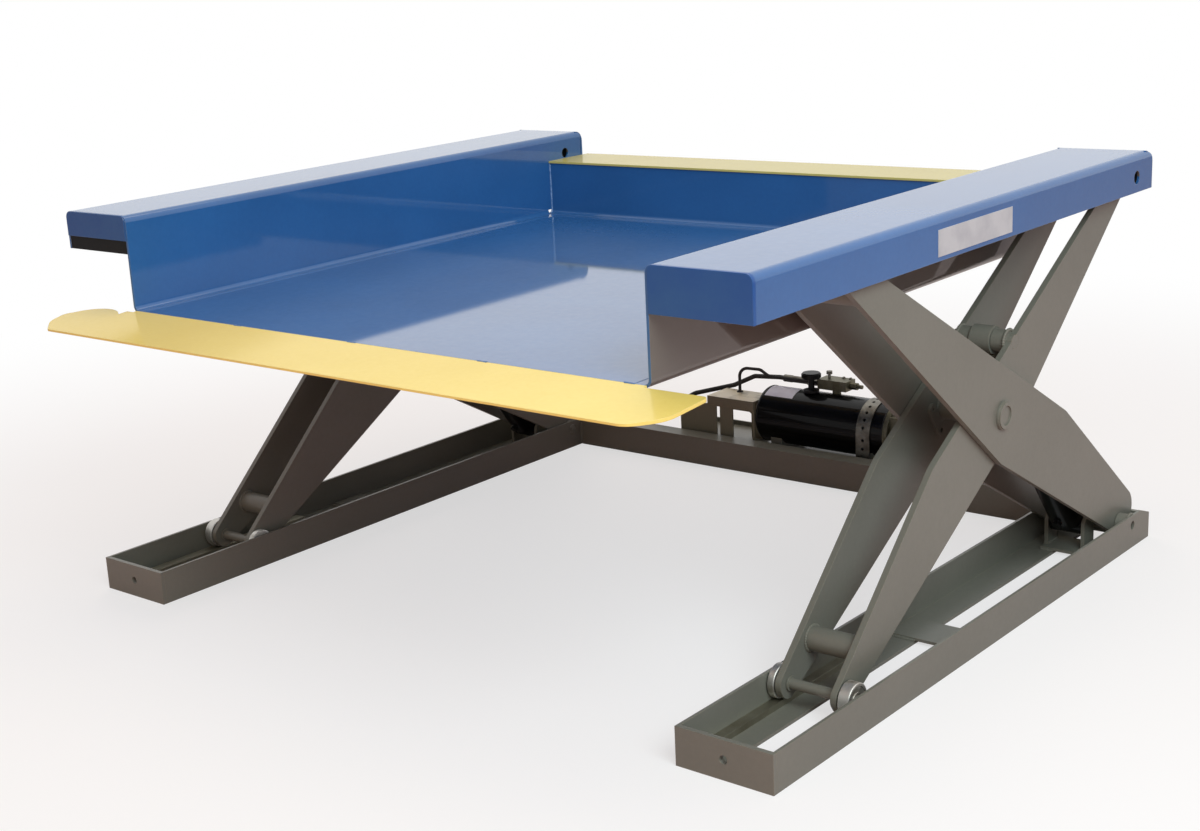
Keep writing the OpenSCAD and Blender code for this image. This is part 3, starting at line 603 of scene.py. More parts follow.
@dataclass(frozen=True)
class Enamel(Finish):
    """Alkyd enamel sprayed on steel: an even film under a clear gloss, with faint orange peel.

    The gloss mirrors the bright studio at low angles, the film is thinner and lighter on edges,
    and soft clouds of tone show how the gun passed.
    """

    colour: str
    cloud: str
    edge: str
    roughness: float = 0.5
    smoother: float = 0.05
    rougher: float = 0.07
    specular: float = 0.25
    gloss: float = 1.0
    gloss_roughness: float = 0.04
    gloss_index: float = 1.58
    cloud_mm: float = 320.0
    mottle_mm: float = 9.0
    mottle_share: float = 0.35
    rub_mm: float = 14.0
    peel_mm: float = 3.2
    peel_depth_mm: float = 0.014
    edge_mm: float = 1.4

    def film(self, add: Adder, place: Socket) -> Socket:
        """Mix the two tones of the film in soft clouds, with a finer mottle from the spray.

        Args:
            add: What adds a node to the material.
            place: Object coordinates.

        Returns:
            The colour socket.
        """
        clouds = add("ShaderNodeTexNoise", {"Vector": place, "Scale": per_mm(self.cloud_mm), "Detail": 4.0,
                                            "Roughness": 0.55})
        mottle = add("ShaderNodeTexNoise", {"Vector": place, "Scale": per_mm(self.mottle_mm), "Detail": 3.0})
        spray = add("ShaderNodeMath", {0: mottle, 1: self.mottle_share, 2: clouds},
                    operation="MULTIPLY_ADD")
        tone = add("ShaderNodeMapRange", {"Value": spray, "From Min": 0.5, "From Max": 0.9})
        return add("ShaderNodeMix", {0: tone, 6: linear(self.colour), 7: linear(self.cloud)}, 2,
                   data_type="RGBA")

    def build(self) -> bpy.types.Material:
        """Make the paint from its film, worn edges and orange peel.

        Returns:
            The finished material.
        """
        material, add, place = self.start()
        film = self.film(add, place)
        # the rounded normal differs from the flat one only on an edge
        rounded = add("ShaderNodeBevel", {"Radius": self.edge_mm * MM}, samples=BEVEL_SAMPLES)
        flat = add("ShaderNodeNewGeometry", out="Normal")
        alike = add("ShaderNodeVectorMath", {0: rounded, 1: flat}, "Value", operation="DOT_PRODUCT")
        rub = add("ShaderNodeTexNoise", {"Vector": place, "Scale": per_mm(self.rub_mm), "Detail": 5.0})
        worn = add("ShaderNodeMapRange", {"Value": alike, "From Min": 0.995, "From Max": 0.8})
        thin = add("ShaderNodeMath", {0: worn, 1: rub}, operation="MULTIPLY")
        paint = add("ShaderNodeMix", {0: thin, 6: film, 7: linear(self.edge)}, 2, data_type="RGBA")
        peel = add("ShaderNodeTexNoise", {"Vector": place, "Scale": per_mm(self.peel_mm), "Detail": 1.5,
                                          "Roughness": 0.4})
        relief = add("ShaderNodeBump", {"Strength": 1.0, "Distance": self.peel_depth_mm * MM, "Height": peel,
                                        "Normal": rounded})
        dull = add("ShaderNodeMapRange", {"Value": rub, "To Min": self.roughness - self.smoother,
                                          "To Max": self.roughness + self.rougher})
        shader = add("ShaderNodeBsdfPrincipled",
                     {"Base Color": paint, "Roughness": dull, "Normal": relief,
                      "Specular IOR Level": self.specular, "Coat Weight": self.gloss, "Coat Normal": relief,
                      "Coat Roughness": self.gloss_roughness, "Coat IOR": self.gloss_index})
        add("ShaderNodeOutputMaterial", {"Surface": shader})
        return material


@dataclass(frozen=True)
class HollowEnamel(Enamel):
    """Enamel on a folded wing: top coat outside, and the frame colour sprayed up into its hollow side,
    darker there as painted shade.
    """

    # the inside colour: frame taupe, darkened as painted shade under the wing
    inside: str = "#5f5851"
    # the line along Y that the hollow side looks at, and how far ahead of such a face it lies at least
    middle_x: float = 0.0
    middle_z: float = 0.0
    ahead_mm: float = 2.0

    def film(self, add: Adder, place: Socket) -> Socket:
        """Give every face that looks into the hollow the inside colour, which is darkened as painted shade.

        Args:
            add: What adds a node to the material.
            place: Object coordinates.

        Returns:
            The colour socket.
        """
        outer = super().film(add, place)
        normal = add("ShaderNodeTexCoord", out="Normal")
        inward = add("ShaderNodeVectorMath", {0: (self.middle_x, 0.0, self.middle_z), 1: place},
                     operation="SUBTRACT")
        across = add("ShaderNodeVectorMath", {0: inward, 1: (1.0, 0.0, 1.0)}, operation="MULTIPLY")
        facing = add("ShaderNodeVectorMath", {0: across, 1: normal}, "Value", operation="DOT_PRODUCT")
        hollow = add("ShaderNodeMath", {0: facing, 1: self.ahead_mm * MM}, operation="GREATER_THAN")
        return add("ShaderNodeMix", {0: hollow, 6: outer, 7: linear(self.inside)}, 2, data_type="RGBA")


@dataclass(frozen=True)
class DustyEnamel(Enamel):
    """Enamel painted pale wherever a face looks up, in uneven patches: painted light on its top."""

    dust: str = "#dedac2"
    dust_mm: float = 30.0

    def film(self, add: Adder, place: Socket) -> Socket:
        """Lay painted light, in uneven patches, over the upward faces of the film.

        Args:
            add: What adds a node to the material.
            place: Object coordinates.

        Returns:
            The colour socket.
        """
        paint = super().film(add, place)
        upward = add("ShaderNodeSeparateXYZ", {"Vector": add("ShaderNodeTexCoord", out="Normal")}, "Z")
        patch = add("ShaderNodeTexNoise", {"Vector": place, "Scale": per_mm(self.dust_mm), "Detail": 4.0})
        laid = add("ShaderNodeMapRange", {"Value": upward, "From Min": 0.6, "From Max": 0.9})
        kept = add("ShaderNodeMapRange", {"Value": patch, "From Min": 0.2, "From Max": 0.5})
        layer = add("ShaderNodeMath", {0: laid, 1: kept}, operation="MULTIPLY")
        return add("ShaderNodeMix", {0: layer, 6: paint, 7: linear(self.dust)}, 2, data_type="RGBA")


@dataclass(frozen=True)
class Grained(Finish):
    """A surface without paint: clouds of a second tone, and a fine grain that lifts and dulls it."""

    colour: str
    stain: str
    roughness: float
    grain_mm: float
    grain_depth_mm: float
    smoother: float = 0.1
    rougher: float = 0.1
    grain_detail: float = 3.0
    stain_mm: float = 22.0
    stain_detail: float = 4.0
    stain_low: float = 0.42
    stain_high: float = 0.68

    def grain_place(self, add: Adder, place: Socket) -> Socket:
        """Return the coordinates that the grain follows."""
        return place

    def body(self, add: Adder, grain: Socket, cloud: Socket) -> tuple[Socket, dict, dict]:
        """Tell what the surface is made of; every kind of surface does this its own way."""
        raise NotImplementedError

    def build(self) -> bpy.types.Material:
        """Make the surface from grain and stain.

        Returns:
            The finished material.
        """
        material, add, place = self.start()
        grain = add("ShaderNodeTexNoise", {"Vector": self.grain_place(add, place),
                                           "Scale": per_mm(self.grain_mm), "Detail": self.grain_detail})
        cloud = add("ShaderNodeTexNoise", {"Vector": place, "Scale": per_mm(self.stain_mm),
                                           "Detail": self.stain_detail})
        part = add("ShaderNodeMapRange", {"Value": cloud, "From Min": self.stain_low,
                                          "From Max": self.stain_high})
        tone = add("ShaderNodeMix", {0: part, 6: linear(self.colour), 7: linear(self.stain)}, 2,
                   data_type="RGBA")
        worn, edges, inputs = self.body(add, grain, cloud)
        dull = add("ShaderNodeMapRange", {"Value": worn, "To Min": self.roughness - self.smoother,
                                          "To Max": self.roughness + self.rougher})
        relief = add("ShaderNodeBump", {"Strength": 1.0, "Distance": self.grain_depth_mm * MM,
                                        "Height": grain, **edges})
        shader = add("ShaderNodeBsdfPrincipled",
                     {"Base Color": tone, "Roughness": dull, "Normal": relief, **inputs})
        add("ShaderNodeOutputMaterial", {"Surface": shader})
        return material


@dataclass(frozen=True)
class PlainMetal(Grained):
    """Zinc plate, hard chrome or cast alloy: one metal with its own grain, tarnish and sheen."""

    edge_mm: float = 0.7
    stretch: Point = (1.0, 1.0, 1.0)

    def grain_place(self, add: Adder, place: Socket) -> Socket:
        """Return the coordinates, drawn out along the way that the metal was rolled."""
        return add("ShaderNodeMapping", {"Vector": place, "Scale": self.stretch})

    def body(self, add: Adder, grain: Socket, cloud: Socket) -> tuple[Socket, dict, dict]:
        """Make it metal with rounded edges, dulled by its grain.

        Args:
            add: What adds a node to the material.
            grain: Height of the grain.
            cloud: Strength of the clouds; not used here.

        Returns:
            What dulls the surface, the inputs of its relief, and those of its shader.
        """
        rounded = add("ShaderNodeBevel", {"Radius": self.edge_mm * MM}, samples=BEVEL_SAMPLES)
        return grain, {"Normal": rounded}, {"Metallic": 1.0}


@dataclass(frozen=True)
class TurnedSteel(PlainMetal):
    """Bright steel turned in a lathe: fine rings round its own axis, a grey metal with warm spots of oil."""

    rougher: float = 0.12
    grain_detail: float = 2.0
    stain_mm: float = 28.0
    stain_low: float = 0.5
    stain_high: float = 0.72
    edge_mm: float = 0.8
    axis_y: float = 0.0
    axis_z: float = 0.0

    def grain_place(self, add: Adder, place: Socket) -> Socket:
        """Turn the coordinates into rings about the axis, which runs along X.

        Args:
            add: What adds a node to the material.
            place: Object coordinates.

        Returns:
            The socket with the place along the axis and the distance from it.
        """
        centred = add("ShaderNodeMapping", {"Vector": place, "Location": (0.0, -self.axis_y, -self.axis_z)})
        apart = add("ShaderNodeSeparateXYZ", {"Vector": centred}).node.outputs
        across = add("ShaderNodeCombineXYZ", {"Y": apart["Y"], "Z": apart["Z"]})
        radius = add("ShaderNodeVectorMath", {0: across}, "Value", operation="LENGTH")
        return add("ShaderNodeCombineXYZ", {"X": apart["X"], "Y": radius})


@dataclass(frozen=True)
class Moulded(Grained):
    """Rubber, plastic or paper: a matt skin with fine grain and a grey bloom."""

    smoother: float = 0.08
    rougher: float = 0.08
    grain_detail: float = 2.0
    stain_mm: float = 35.0
    stain_detail: float = 5.0
    stain_low: float = 0.45
    stain_high: float = 0.8
    specular: float = 0.25

    def body(self, add: Adder, grain: Socket, cloud: Socket) -> tuple[Socket, dict, dict]:
        """Make it a skin with little shine, dulled by its bloom."""
        return cloud, {}, {"Specular IOR Level": self.specular}


BLUE_TONES = ("#27629f", "#225993", "#5f8bbd")
# deep clear blue that turns pale at low angles, where its gloss mirrors the studio
BLUE = Enamel("blue_alkyd_enamel", "blue_paint", *BLUE_TONES)
# the same blue over a weld that was ground flush: no edge shows under the film. Its tones are darker than
# the blue: painted shade on the front faces of the caps
BLUE_GROUND = Enamel("blue_enamel_on_ground_weld", "blue_paint", "#0e4b8d", "#19528e", BLUE_TONES[2],
                     gloss=0.7, edge_mm=0.05, cloud_mm=55.0)
# blue over a rippled bead, its crests and specks painted pale: a painted highlight
BLUE_BEAD = Enamel("blue_enamel_on_weld_bead", "blue_paint", "#2f67a6", "#7fa3cf", "#a9c1de", cloud_mm=11.0,
                   edge_mm=2.0)
# the coarser and softer gloss of the yellow and of the frame colour
COARSE = {"gloss_index": 1.5, "peel_depth_mm": 0.03}
# warm pale yellow, one thick coat, a little less glossy than the blue
YELLOW = Enamel("yellow_alkyd_enamel", "yellow_paint", "#f8e27c", "#f1d96f", "#fdf1b4", gloss=0.5,
                gloss_roughness=0.14, **COARSE)
# the same yellow, greyer and with a dulled shine
YELLOW_DUSTY = Enamel("dusty_yellow_enamel", "yellow_paint", "#cdc572", "#c6bd68", "#f3dd7e", gloss=0.6,
                      gloss_roughness=0.18, **COARSE)
# grey-green brown of the frames: semi-gloss, lighter and tan where edges are rubbed
TAUPE = Enamel("taupe_machine_enamel", "frame_paint", "#75766c", "#6e6f65", "#8f8468", gloss=0.42,
               gloss_roughness=0.26, **COARSE)
# frame colour of the stand, with painted light laid pale on its top
STAND_TAUPE = DustyEnamel("dusty_taupe_enamel", "frame_paint", "#85826f", "#7d7a68", "#b4ac8c", gloss=0.3,
                          gloss_roughness=0.3, **COARSE)
# near-black with a tight highlight
BLACK = Enamel("black_gloss_enamel", "black_paint", "#040404", "#070708", "#1c1c1e", roughness=0.4,
               gloss_roughness=0.05, gloss_index=1.5, gloss=0.4, specular=0.08, peel_depth_mm=0.015)
# the numbers of these are the roughness, and the width and the depth of the grain in millimetres
# blank paper label: matt, cool white, its ink area left empty
LABEL = Moulded("blank_paper_label", "plate_aluminium", "#e6edff", "#dbe2f4", 0.6, 0.5, 0.01)
# zinc plate: dull grey with a yellowish bloom
ZINC = PlainMetal("zinc_plated_steel", "plated_steel", "#86837b", "#67625a", 0.42, 2.5, 0.02)
# hot rolled strip that the rollers have burnished along its length
BURNISHED = PlainMetal("burnished_steel_strip", "bright_steel", "#aba797", "#96907f", 0.46, 1.6, 0.012,
                       stretch=(1.0, 0.03, 1.0), stain_mm=70.0)
# ground and polished chrome: a clear mirror with hardly any grain
CHROME = PlainMetal("hard_chrome", "chrome_rod", "#d4d5d8", "#c2c2c4", 0.09, 1.2, 0.004, smoother=0.03,
                    rougher=0.03)
# sand-cast aluminium: pebbled, darker where oil has soaked in
ALLOY = PlainMetal("cast_aluminium", "cast_alloy", "#757161", "#5d5949", 0.5, 0.9, 0.06)
# rolled aluminium sheet brushed along its length
SHEET = PlainMetal("brushed_aluminium_sheet", "plate_aluminium", "#e0e0e3", "#cfcfd4", 0.42, 0.6, 0.008,
                   stretch=(1.0, 0.02, 1.0), stain_mm=60.0)
# moulded rubber: dead matt with a grey bloom
RUBBER = Moulded("moulded_rubber", "rubber", "#0c0b0b", "#1c1b1b", 0.62, 1.1, 0.03)
# smooth extruded hose cover with a dull shine
HOSE = Moulded("hose_rubber", "hose_rubber", "#0e0e0f", "#222224", 0.42, 0.8, 0.02)
# glass-filled nylon: fine even grain
PLASTIC = Moulded("black_nylon", "black_plastic", "#101011", "#1d1d1f", 0.4, 0.7, 0.015)


# ---- camera, floor and light -------------------------------------------------


@dataclass(frozen=True)
class SoftBox:
    """A square lamp: its place and the point that it faces, the side in metres, its watts and colour."""

    name: str
    place: Point
    aim: Point
    size: float
    power: float
    colour: str
    in_gloss: bool = True

    def hang(self) -> None:
        """Hang the lamp in its place."""
        data = bpy.data.lights.new(self.name, "AREA")
        data.shape = "SQUARE"
        data.size = self.size
        data.energy = self.power
        data.color = linear(self.colour)[:3]
        obj = show(self.name, data)
        obj.location = self.place
        obj.rotation_euler = (Vector(self.aim) - Vector(self.place)).to_track_quat("-Z", "Y").to_euler()
        obj.visible_glossy = self.in_gloss


LAMPS = (
    SoftBox("key_softbox", (3.4, -1.9, 3.0), (0.3, 0.0, 0.4), 2.4, 130.0, "#eefcff"),
    SoftBox("top_softbox", (0.2, 0.3, 4.4), (0.0, 0.0, 0.5), 3.0, 48.0, "#ffeccf"),
    # warm fill for the sides that the key leaves in shade; no gloss shows it
    SoftBox("rear_fill", (-3.6, 2.6, 2.2), (0.0, 0.2, 0.4), 2.8, 52.0, "#ffeedd", in_gloss=False),
    # the same from low in front, into the gaps between the arm plates
    SoftBox("front_fill", (0.3, -3.6, 0.9), (0.1, -0.6, 0.3), 1.6, 12.0, "#ffdcb8", in_gloss=False),
)


@dataclass
class Studio:
    """Pale floor, white surround, soft lamps and the camera.

    Lengths are in metres, those of the lens and the sensor in millimetres, and angles in degrees.
    """

    camera_place: Point = (2.335, -2.167, 1.3467)
    bearing: float = 41.82
    dip: float = 15.46
    roll: float = -3.43
    lens: float = 53.56
    sensor: float = 36.0
    shift: tuple[float, float] = (0.061, 0.0117)
    floor_half: float = 9.0
    fade_from: float = 1.2
    fade_to: float = 3.6
    floor_drop: float = 0.0005
    paper: str = "#f4f3f2"
    bounce: str = "#e0b2ac"
    shade: str = "#f8e4ea"
    white: tuple[float, ...] = (1.0, 1.0, 1.0, 1.0)

    def camera(self) -> None:
        """Set the camera off the front right corner, half a metre above the wings."""
        data = bpy.data.cameras.new("camera")
        data.lens = self.lens
        data.sensor_width = self.sensor
        data.shift_x, data.shift_y = self.shift
        obj = show("camera", data)
        x, y, z = self.camera_place
        a, p, r = (math.radians(v) for v in (self.bearing, self.dip, self.roll))
        ahead = Vector((-math.sin(a) * math.cos(p), math.cos(a) * math.cos(p), -math.sin(p)))
        right = Vector((math.cos(a), math.sin(a), 0.0))
        up = right.cross(ahead)
        right, up = right * math.cos(r) + up * math.sin(r), up * math.cos(r) - right * math.sin(r)
        turn = Matrix((right, up, -ahead)).transposed().to_4x4()
        obj.matrix_world = Matrix.Translation((x, y + BASE_FRONT, z)) @ turn
        bpy.context.scene.camera = obj

    def floor(self) -> None:
        """Lay a pale floor that runs out into the white surround."""
        h = self.floor_half
        corners = [(-h, -h, 0), (h, -h, 0), (h, h, 0), (-h, h, 0)]
        floor = mesh_object("studio_floor", corners, [], [range(4)])
        material = bpy.data.materials.new("pale_studio_floor")
        add = open_tree(material)
        away = add("ShaderNodeVectorMath", {0: add("ShaderNodeTexCoord", out="Object")}, "Value",
                   operation="LENGTH")
        fade = add("ShaderNodeMapRange", {"Value": away, "From Min": self.fade_from,
                                          "From Max": self.fade_to, "To Min": 0.62},
                   interpolation_type="SMOOTHSTEP")
        paper = add("ShaderNodeBsdfDiffuse", {"Color": linear(self.paper)})
        white = add("ShaderNodeEmission", {"Color": self.white, "Strength": 1.0})
        sweep = add("ShaderNodeMixShader", {0: fade, 1: paper, 2: white})
        # what the floor sends back: a grey sheen to gloss, a warm and dim light to matt paint
        sheen = add("ShaderNodeBsdfDiffuse", {"Color": linear(self.paper)})
        bounce = add("ShaderNodeBsdfDiffuse", {"Color": linear(self.bounce)})
        ray = add("ShaderNodeLightPath").node.outputs
        shown = add("ShaderNodeMath", {0: ray["Is Camera Ray"], 1: ray["Is Transmission Ray"]},
                    operation="MAXIMUM")
        unseen = add("ShaderNodeMixShader", {0: ray["Is Glossy Ray"], 1: bounce, 2: sheen})
        both = add("ShaderNodeMixShader", {0: shown, 1: unseen, 2: sweep})
        add("ShaderNodeOutputMaterial", {"Surface": both})
        floor.data.materials.append(material)
        floor.location.z = -self.floor_drop

    def surround(self) -> None:
        """Make the surround white to the eye and to gloss, and dim as a light."""
        world = bpy.data.worlds.new("studio")
        bpy.context.scene.world = world
        add = open_tree(world)
        # each ray asks the surround by itself, so that gloss sees it white and matt paint sees it dim
        world.cycles.sampling_method = "NONE"
        ray = add("ShaderNodeLightPath").node.outputs
        seen = add("ShaderNodeMath", {0: ray["Is Camera Ray"], 1: ray["Is Glossy Ray"]}, operation="MAXIMUM")
        shown = add("ShaderNodeMath", {0: seen, 1: ray["Is Transmission Ray"]}, operation="MAXIMUM")
        dim = add("ShaderNodeBackground", {"Color": linear(self.shade), "Strength": 0.4})
        # the studio is open and dark in front of the table, which the gloss of its front faces shows
        way = add("ShaderNodeSeparateXYZ", {"Vector": add("ShaderNodeTexCoord", out="Generated")}, "Y")
        screen = add("ShaderNodeMapRange", {"Value": way, "From Min": -0.75, "From Max": -0.25,
                                            "To Min": 0.45}, interpolation_type="SMOOTHSTEP")
        level = add("ShaderNodeMath", {0: screen, 1: ray["Is Camera Ray"]}, operation="MAXIMUM")
        white = add("ShaderNodeBackground", {"Color": self.white, "Strength": level})
        both = add("ShaderNodeMixShader", {0: shown, 1: dim, 2: white})
        add("ShaderNodeOutputWorld", {"Surface": both})

    def build(self) -> None:
        """Set up the camera, the floor, the surround and the lamps."""
        self.camera()
        self.floor()
        self.surround()
        for lamp in LAMPS:
            lamp.hang()
        bpy.context.scene.view_settings.view_transform = "Standard"


# ---- sub-assemblies, whose sizes are all in millimetres --------------------------


@dataclass
class SubAssembly:
    """A part of the table that gets welds, screws, ribs and small parts, one body at a time."""

    shop: Workshop
    body: str = "base"
    # how far the middle of a bead stands off the steel, and off thin or narrow steel
    off: float = 0.6
    near: float = 0.5
    ripple: float = 4.5
    washer: float = 1.3
    # height of a head and radius of its washer, as shares of the radius of the head
    head_share: float = 0.75
    washer_share: float = 1.45

    def weld(self, name: str, guide: Guide, finish: Finish, leg: float, seed: float,
             uneven: float = 0.9) -> None:
        """Lay weld beads along the seams of a guide.

        Args:
            name: Name of the piece.
            guide: Seams.
            finish: Paint over the weld.
            leg: Radius of the bead.
            seed: Number that settles where the bead is wide and where it is narrow.
            uneven: How much its width strays.
        """
        self.shop.beads.make(name, guide, self.body, finish, Leg=leg * MM, Ripple=self.ripple * MM,
                             Uneven=uneven, Seed=seed)

    def screw(self, head: Head, name: str, guide: Guide, radius: float, seed: int) -> None:
        """Drive zinc plated screws with washers into the seats of a guide.

        Args:
            head: Kind of head.
            name: Name of the piece.
            guide: Seats.
            radius: Radius of the head.
            seed: Number that settles how each head is turned.
        """
        self.shop.screws[head].make(name, guide, self.body, ZINC, Head_radius=radius * MM,
                                    Head_height=radius * self.head_share * MM,
                                    Washer_radius=radius * self.washer_share * MM,
                                    Washer_height=self.washer * MM, Seed=seed)

    def rib(self, name: str, guide: Guide, finish: Finish, count: int, seed: int, **sizes: float) -> None:
        """Set a ring of ribs on each seat of a guide.

        Args:
            name: Name of the piece.
            guide: Seats.
            finish: Finish of the ribs.
            count: Number of ribs in a ring.
            seed: Number that settles how each ring is turned.
            **sizes: Lengths by the name of their input.
        """
        metres = {label: size * MM for label, size in sizes.items()}
        self.shop.ribs.make(name, guide, self.body, finish, Count=count, Seed=seed, **metres)


@dataclass
class Platform(SubAssembly):
    """Welds and ground caps of the deck, walls, wings, ramp and ledge."""

    body: str = "platform"
    sheet: float = 5.0
    fold: float = 10.0
    # how far the middle of a bead lies in from the walls at a corner, and off the plates inside a wing
    corner: float = 1.0
    in_wing: float = 0.8
    # a wing: the radius of its folded edges, the height of its flange and the start of its ground face
    nose: float = 14.0
    nose_steps: int = 8
    flange: float = 79.0
    left_cap_rise: float = 27.0
    rim: float = 4.2
    cap_film: float = 0.15
    boss: float = 23.0
    foot_inset: float = 30.0
    tack_x: tuple[float, ...] = (-336.0, -18.0, 305.0, 623.0)
    stiffener_half: float = 30.0
    # y of each section of a ground cap, and how far its outline is drawn in there
    cap_sections: Profile = ((6.0, 0.0), (-0.6, 0.0), (-1.3, 0.35), (-1.6, 1.1), (-1.6, 1.6))

    def __post_init__(self) -> None:
        """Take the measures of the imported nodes."""
        wall, wing = extent("back_wall"), extent("right_wing")
        self.half, self.length = wall[1].x, wall[1].y - self.sheet
        self.wing_out, self.wing_z = wing[1].x, wing[1].z
        self.deck_z, self.ledge_z = extent("deck")[1].z, extent("rear_ledge")[1].z

    def back_wall_seam(self) -> None:
        """Weld the back wall to both side walls, round the folds and along the deck."""
        corners, along, spatter = Guide(), Guide(), Guide()
        low, x, r = self.length - self.fold, self.half - self.corner, self.fold - self.corner
        turns = [math.radians(turn) for turn in (0, 30, 60, 90)]
        corners.line((x, self.length - self.corner, self.ledge_z - self.sheet - self.corner),
                     *((x, low + r * math.cos(a), self.deck_z + self.fold - r * math.sin(a)) for a in turns))
        corners.mirror()
        reach, ahead, sunk = self.half - self.fold, 5.0, 0.2
        y, z = low - ahead, self.deck_z - sunk
        along.line((-reach, y, z), (reach, y, z))
        # drops of metal beside the seam, on its right part only
        first, last, aside, proud = 0.28 * reach, reach - 8.0, 1.5, 0.3
        spatter.stitches((first, y + aside, self.deck_z + proud), (last, y + aside, self.deck_z + proud),
                         run=7.0, pitch=31.0)
        # the corner beads and the drops wear the pale blue of a painted highlight
        self.weld("corner_welds", corners, BLUE_BEAD, leg=2.1, seed=3.0, uneven=1.6)
        self.weld("back_wall_seam", along, BLUE, leg=1.5, seed=4.0, uneven=1.6)
        self.weld("back_wall_spatter", spatter, BLUE_BEAD, leg=1.5, seed=6.0, uneven=2.4)

    def floor_seams(self) -> None:
        """Weld the feet of the walls to the deck, flush above and full below, and seam and tack the ramp."""
        above, below, tacks = Guide(), Guide(), Guide()
        foot, sunk = self.half - self.foot_inset, 0.3
        for guide, z, front, rear in ((above, self.deck_z - sunk, 3.0, 16.0),
                                      (below, self.deck_z - self.sheet - self.off, 6.0, 18.0)):
            guide.line((foot, front, z), (foot, self.length - rear, z))
            guide.mirror()
        end, y, z = self.half - 6.0, 1.0, self.deck_z - self.sheet - 2 * self.off
        below.line((-end, y, z), (end, y, z))
        before, after, z = (-11.0, -0.4), (10.0, -0.6), self.deck_z - self.off
        for x in self.tack_x:
            tacks.line((x + before[0], before[1], z), (x + after[0], after[1], z))
        self.weld("wall_foot_seams", above, BLUE, leg=0.9, seed=5.0)
        self.weld("underside_seams", below, BLUE, leg=3.0, seed=7.0)
        self.weld("ramp_tacks", tacks, BLUE, leg=2.2, seed=9.0, uneven=1.8)

    def stitched_plates(self) -> None:
        """Stitch the flat stiffeners under the deck, and the ledge to the back of the wall."""
        plates, ledge = Guide(), Guide()
        low, high = extent("deck_stiffeners")
        count, end, z = 5, 15.0, high.z - self.near
        pitch = (high.x - low.x - 2 * self.stiffener_half) / (count - 1)
        for i in range(count):
            for edge in (-1.0, 1.0):
                x = (i - count // 2) * pitch + edge * (self.stiffener_half + self.near)
                plates.stitches((x, low.y + end, z), (x, high.y - end, z), run=60.0, pitch=240.0)
        self.weld("stiffener_stitches", plates, BLUE, leg=3.0, seed=11.0)
        off, reach = self.sheet + self.near, self.half - 20.0
        y, z = self.length + off, self.ledge_z - off
        ledge.stitches((-reach, y, z), (reach, y, z), run=70.0, pitch=220.0)
        self.weld("ledge_stitches", ledge, YELLOW_DUSTY, leg=2.8, seed=13.0)

    def wing_welds(self) -> None:
        """Weld the bosses of the rear pivots and stitch the roller tracks under the wings."""
        rings, tracks = Guide(), Guide()
        pivot = joint_place("platform_level")
        for x in (self.half + self.sheet + self.in_wing, self.wing_out - self.sheet - self.in_wing):
            rings.ring(x, pivot.y, pivot.z, self.boss + self.off)
        low, high = extent("top_wear_strips")
        x, end, z = high.x + self.off, 10.0, high.z - self.in_wing
        tracks.stitches((x, low.y + end, z), (x, high.y - end, z), run=40.0, pitch=150.0)
        rings.mirror()
        tracks.mirror()
        self.weld("rear_boss_welds", rings, TAUPE, leg=3.0, seed=15.0)
        self.weld("track_stitches", tracks, TAUPE, leg=2.4, seed=17.0)

    def cap_outline(self, rise: float, inset: float) -> list[tuple[float, float]]:
        """Trace the ground face of a cap, from its low inner corner round the top.

        Args:
            rise: How far the lower edge stands above that of the flange.
            inset: How far the line is drawn in.

        Returns:
            Points (x, z) of the right cap.
        """
        x0, x1 = self.half + self.rim + inset, self.wing_out + self.cap_film - inset
        z0, z1 = self.wing_z - self.flange + rise + inset, self.wing_z + self.cap_film - inset
        points = [(x0, z0)]
        for x, inward, radius, first in ((x0, 1, self.nose - self.rim, 180), (x1, -1, self.nose, 90)):
            r = radius - inset
            for step in range(self.nose_steps + 1):
                a = math.radians(first - step * 90 / self.nose_steps)
                points.append((x + inward * r + r * math.cos(a), z1 - r + r * math.sin(a)))
        return [*points, (x1, z0)]

    def ground_caps(self) -> None:
        """Cover the front end of each wing with its welded and ground end plate."""
        for name, side in SIDES.items():
            rise = self.left_cap_rise if name == "left" else 0.0
            rings = [[(side * x, y, z) for x, z in self.cap_outline(rise, inset)]
                     for y, inset in self.cap_sections]
            # the caps wear the darker blue, painted shade on their front faces
            settle(closed_slab(f"{name}_ground_cap", rings), self.body, BLUE_GROUND)

    def build(self) -> None:
        """Make every piece of the platform."""
        self.back_wall_seam()
        self.floor_seams()
        self.stitched_plates()
        self.wing_welds()
        self.ground_caps()


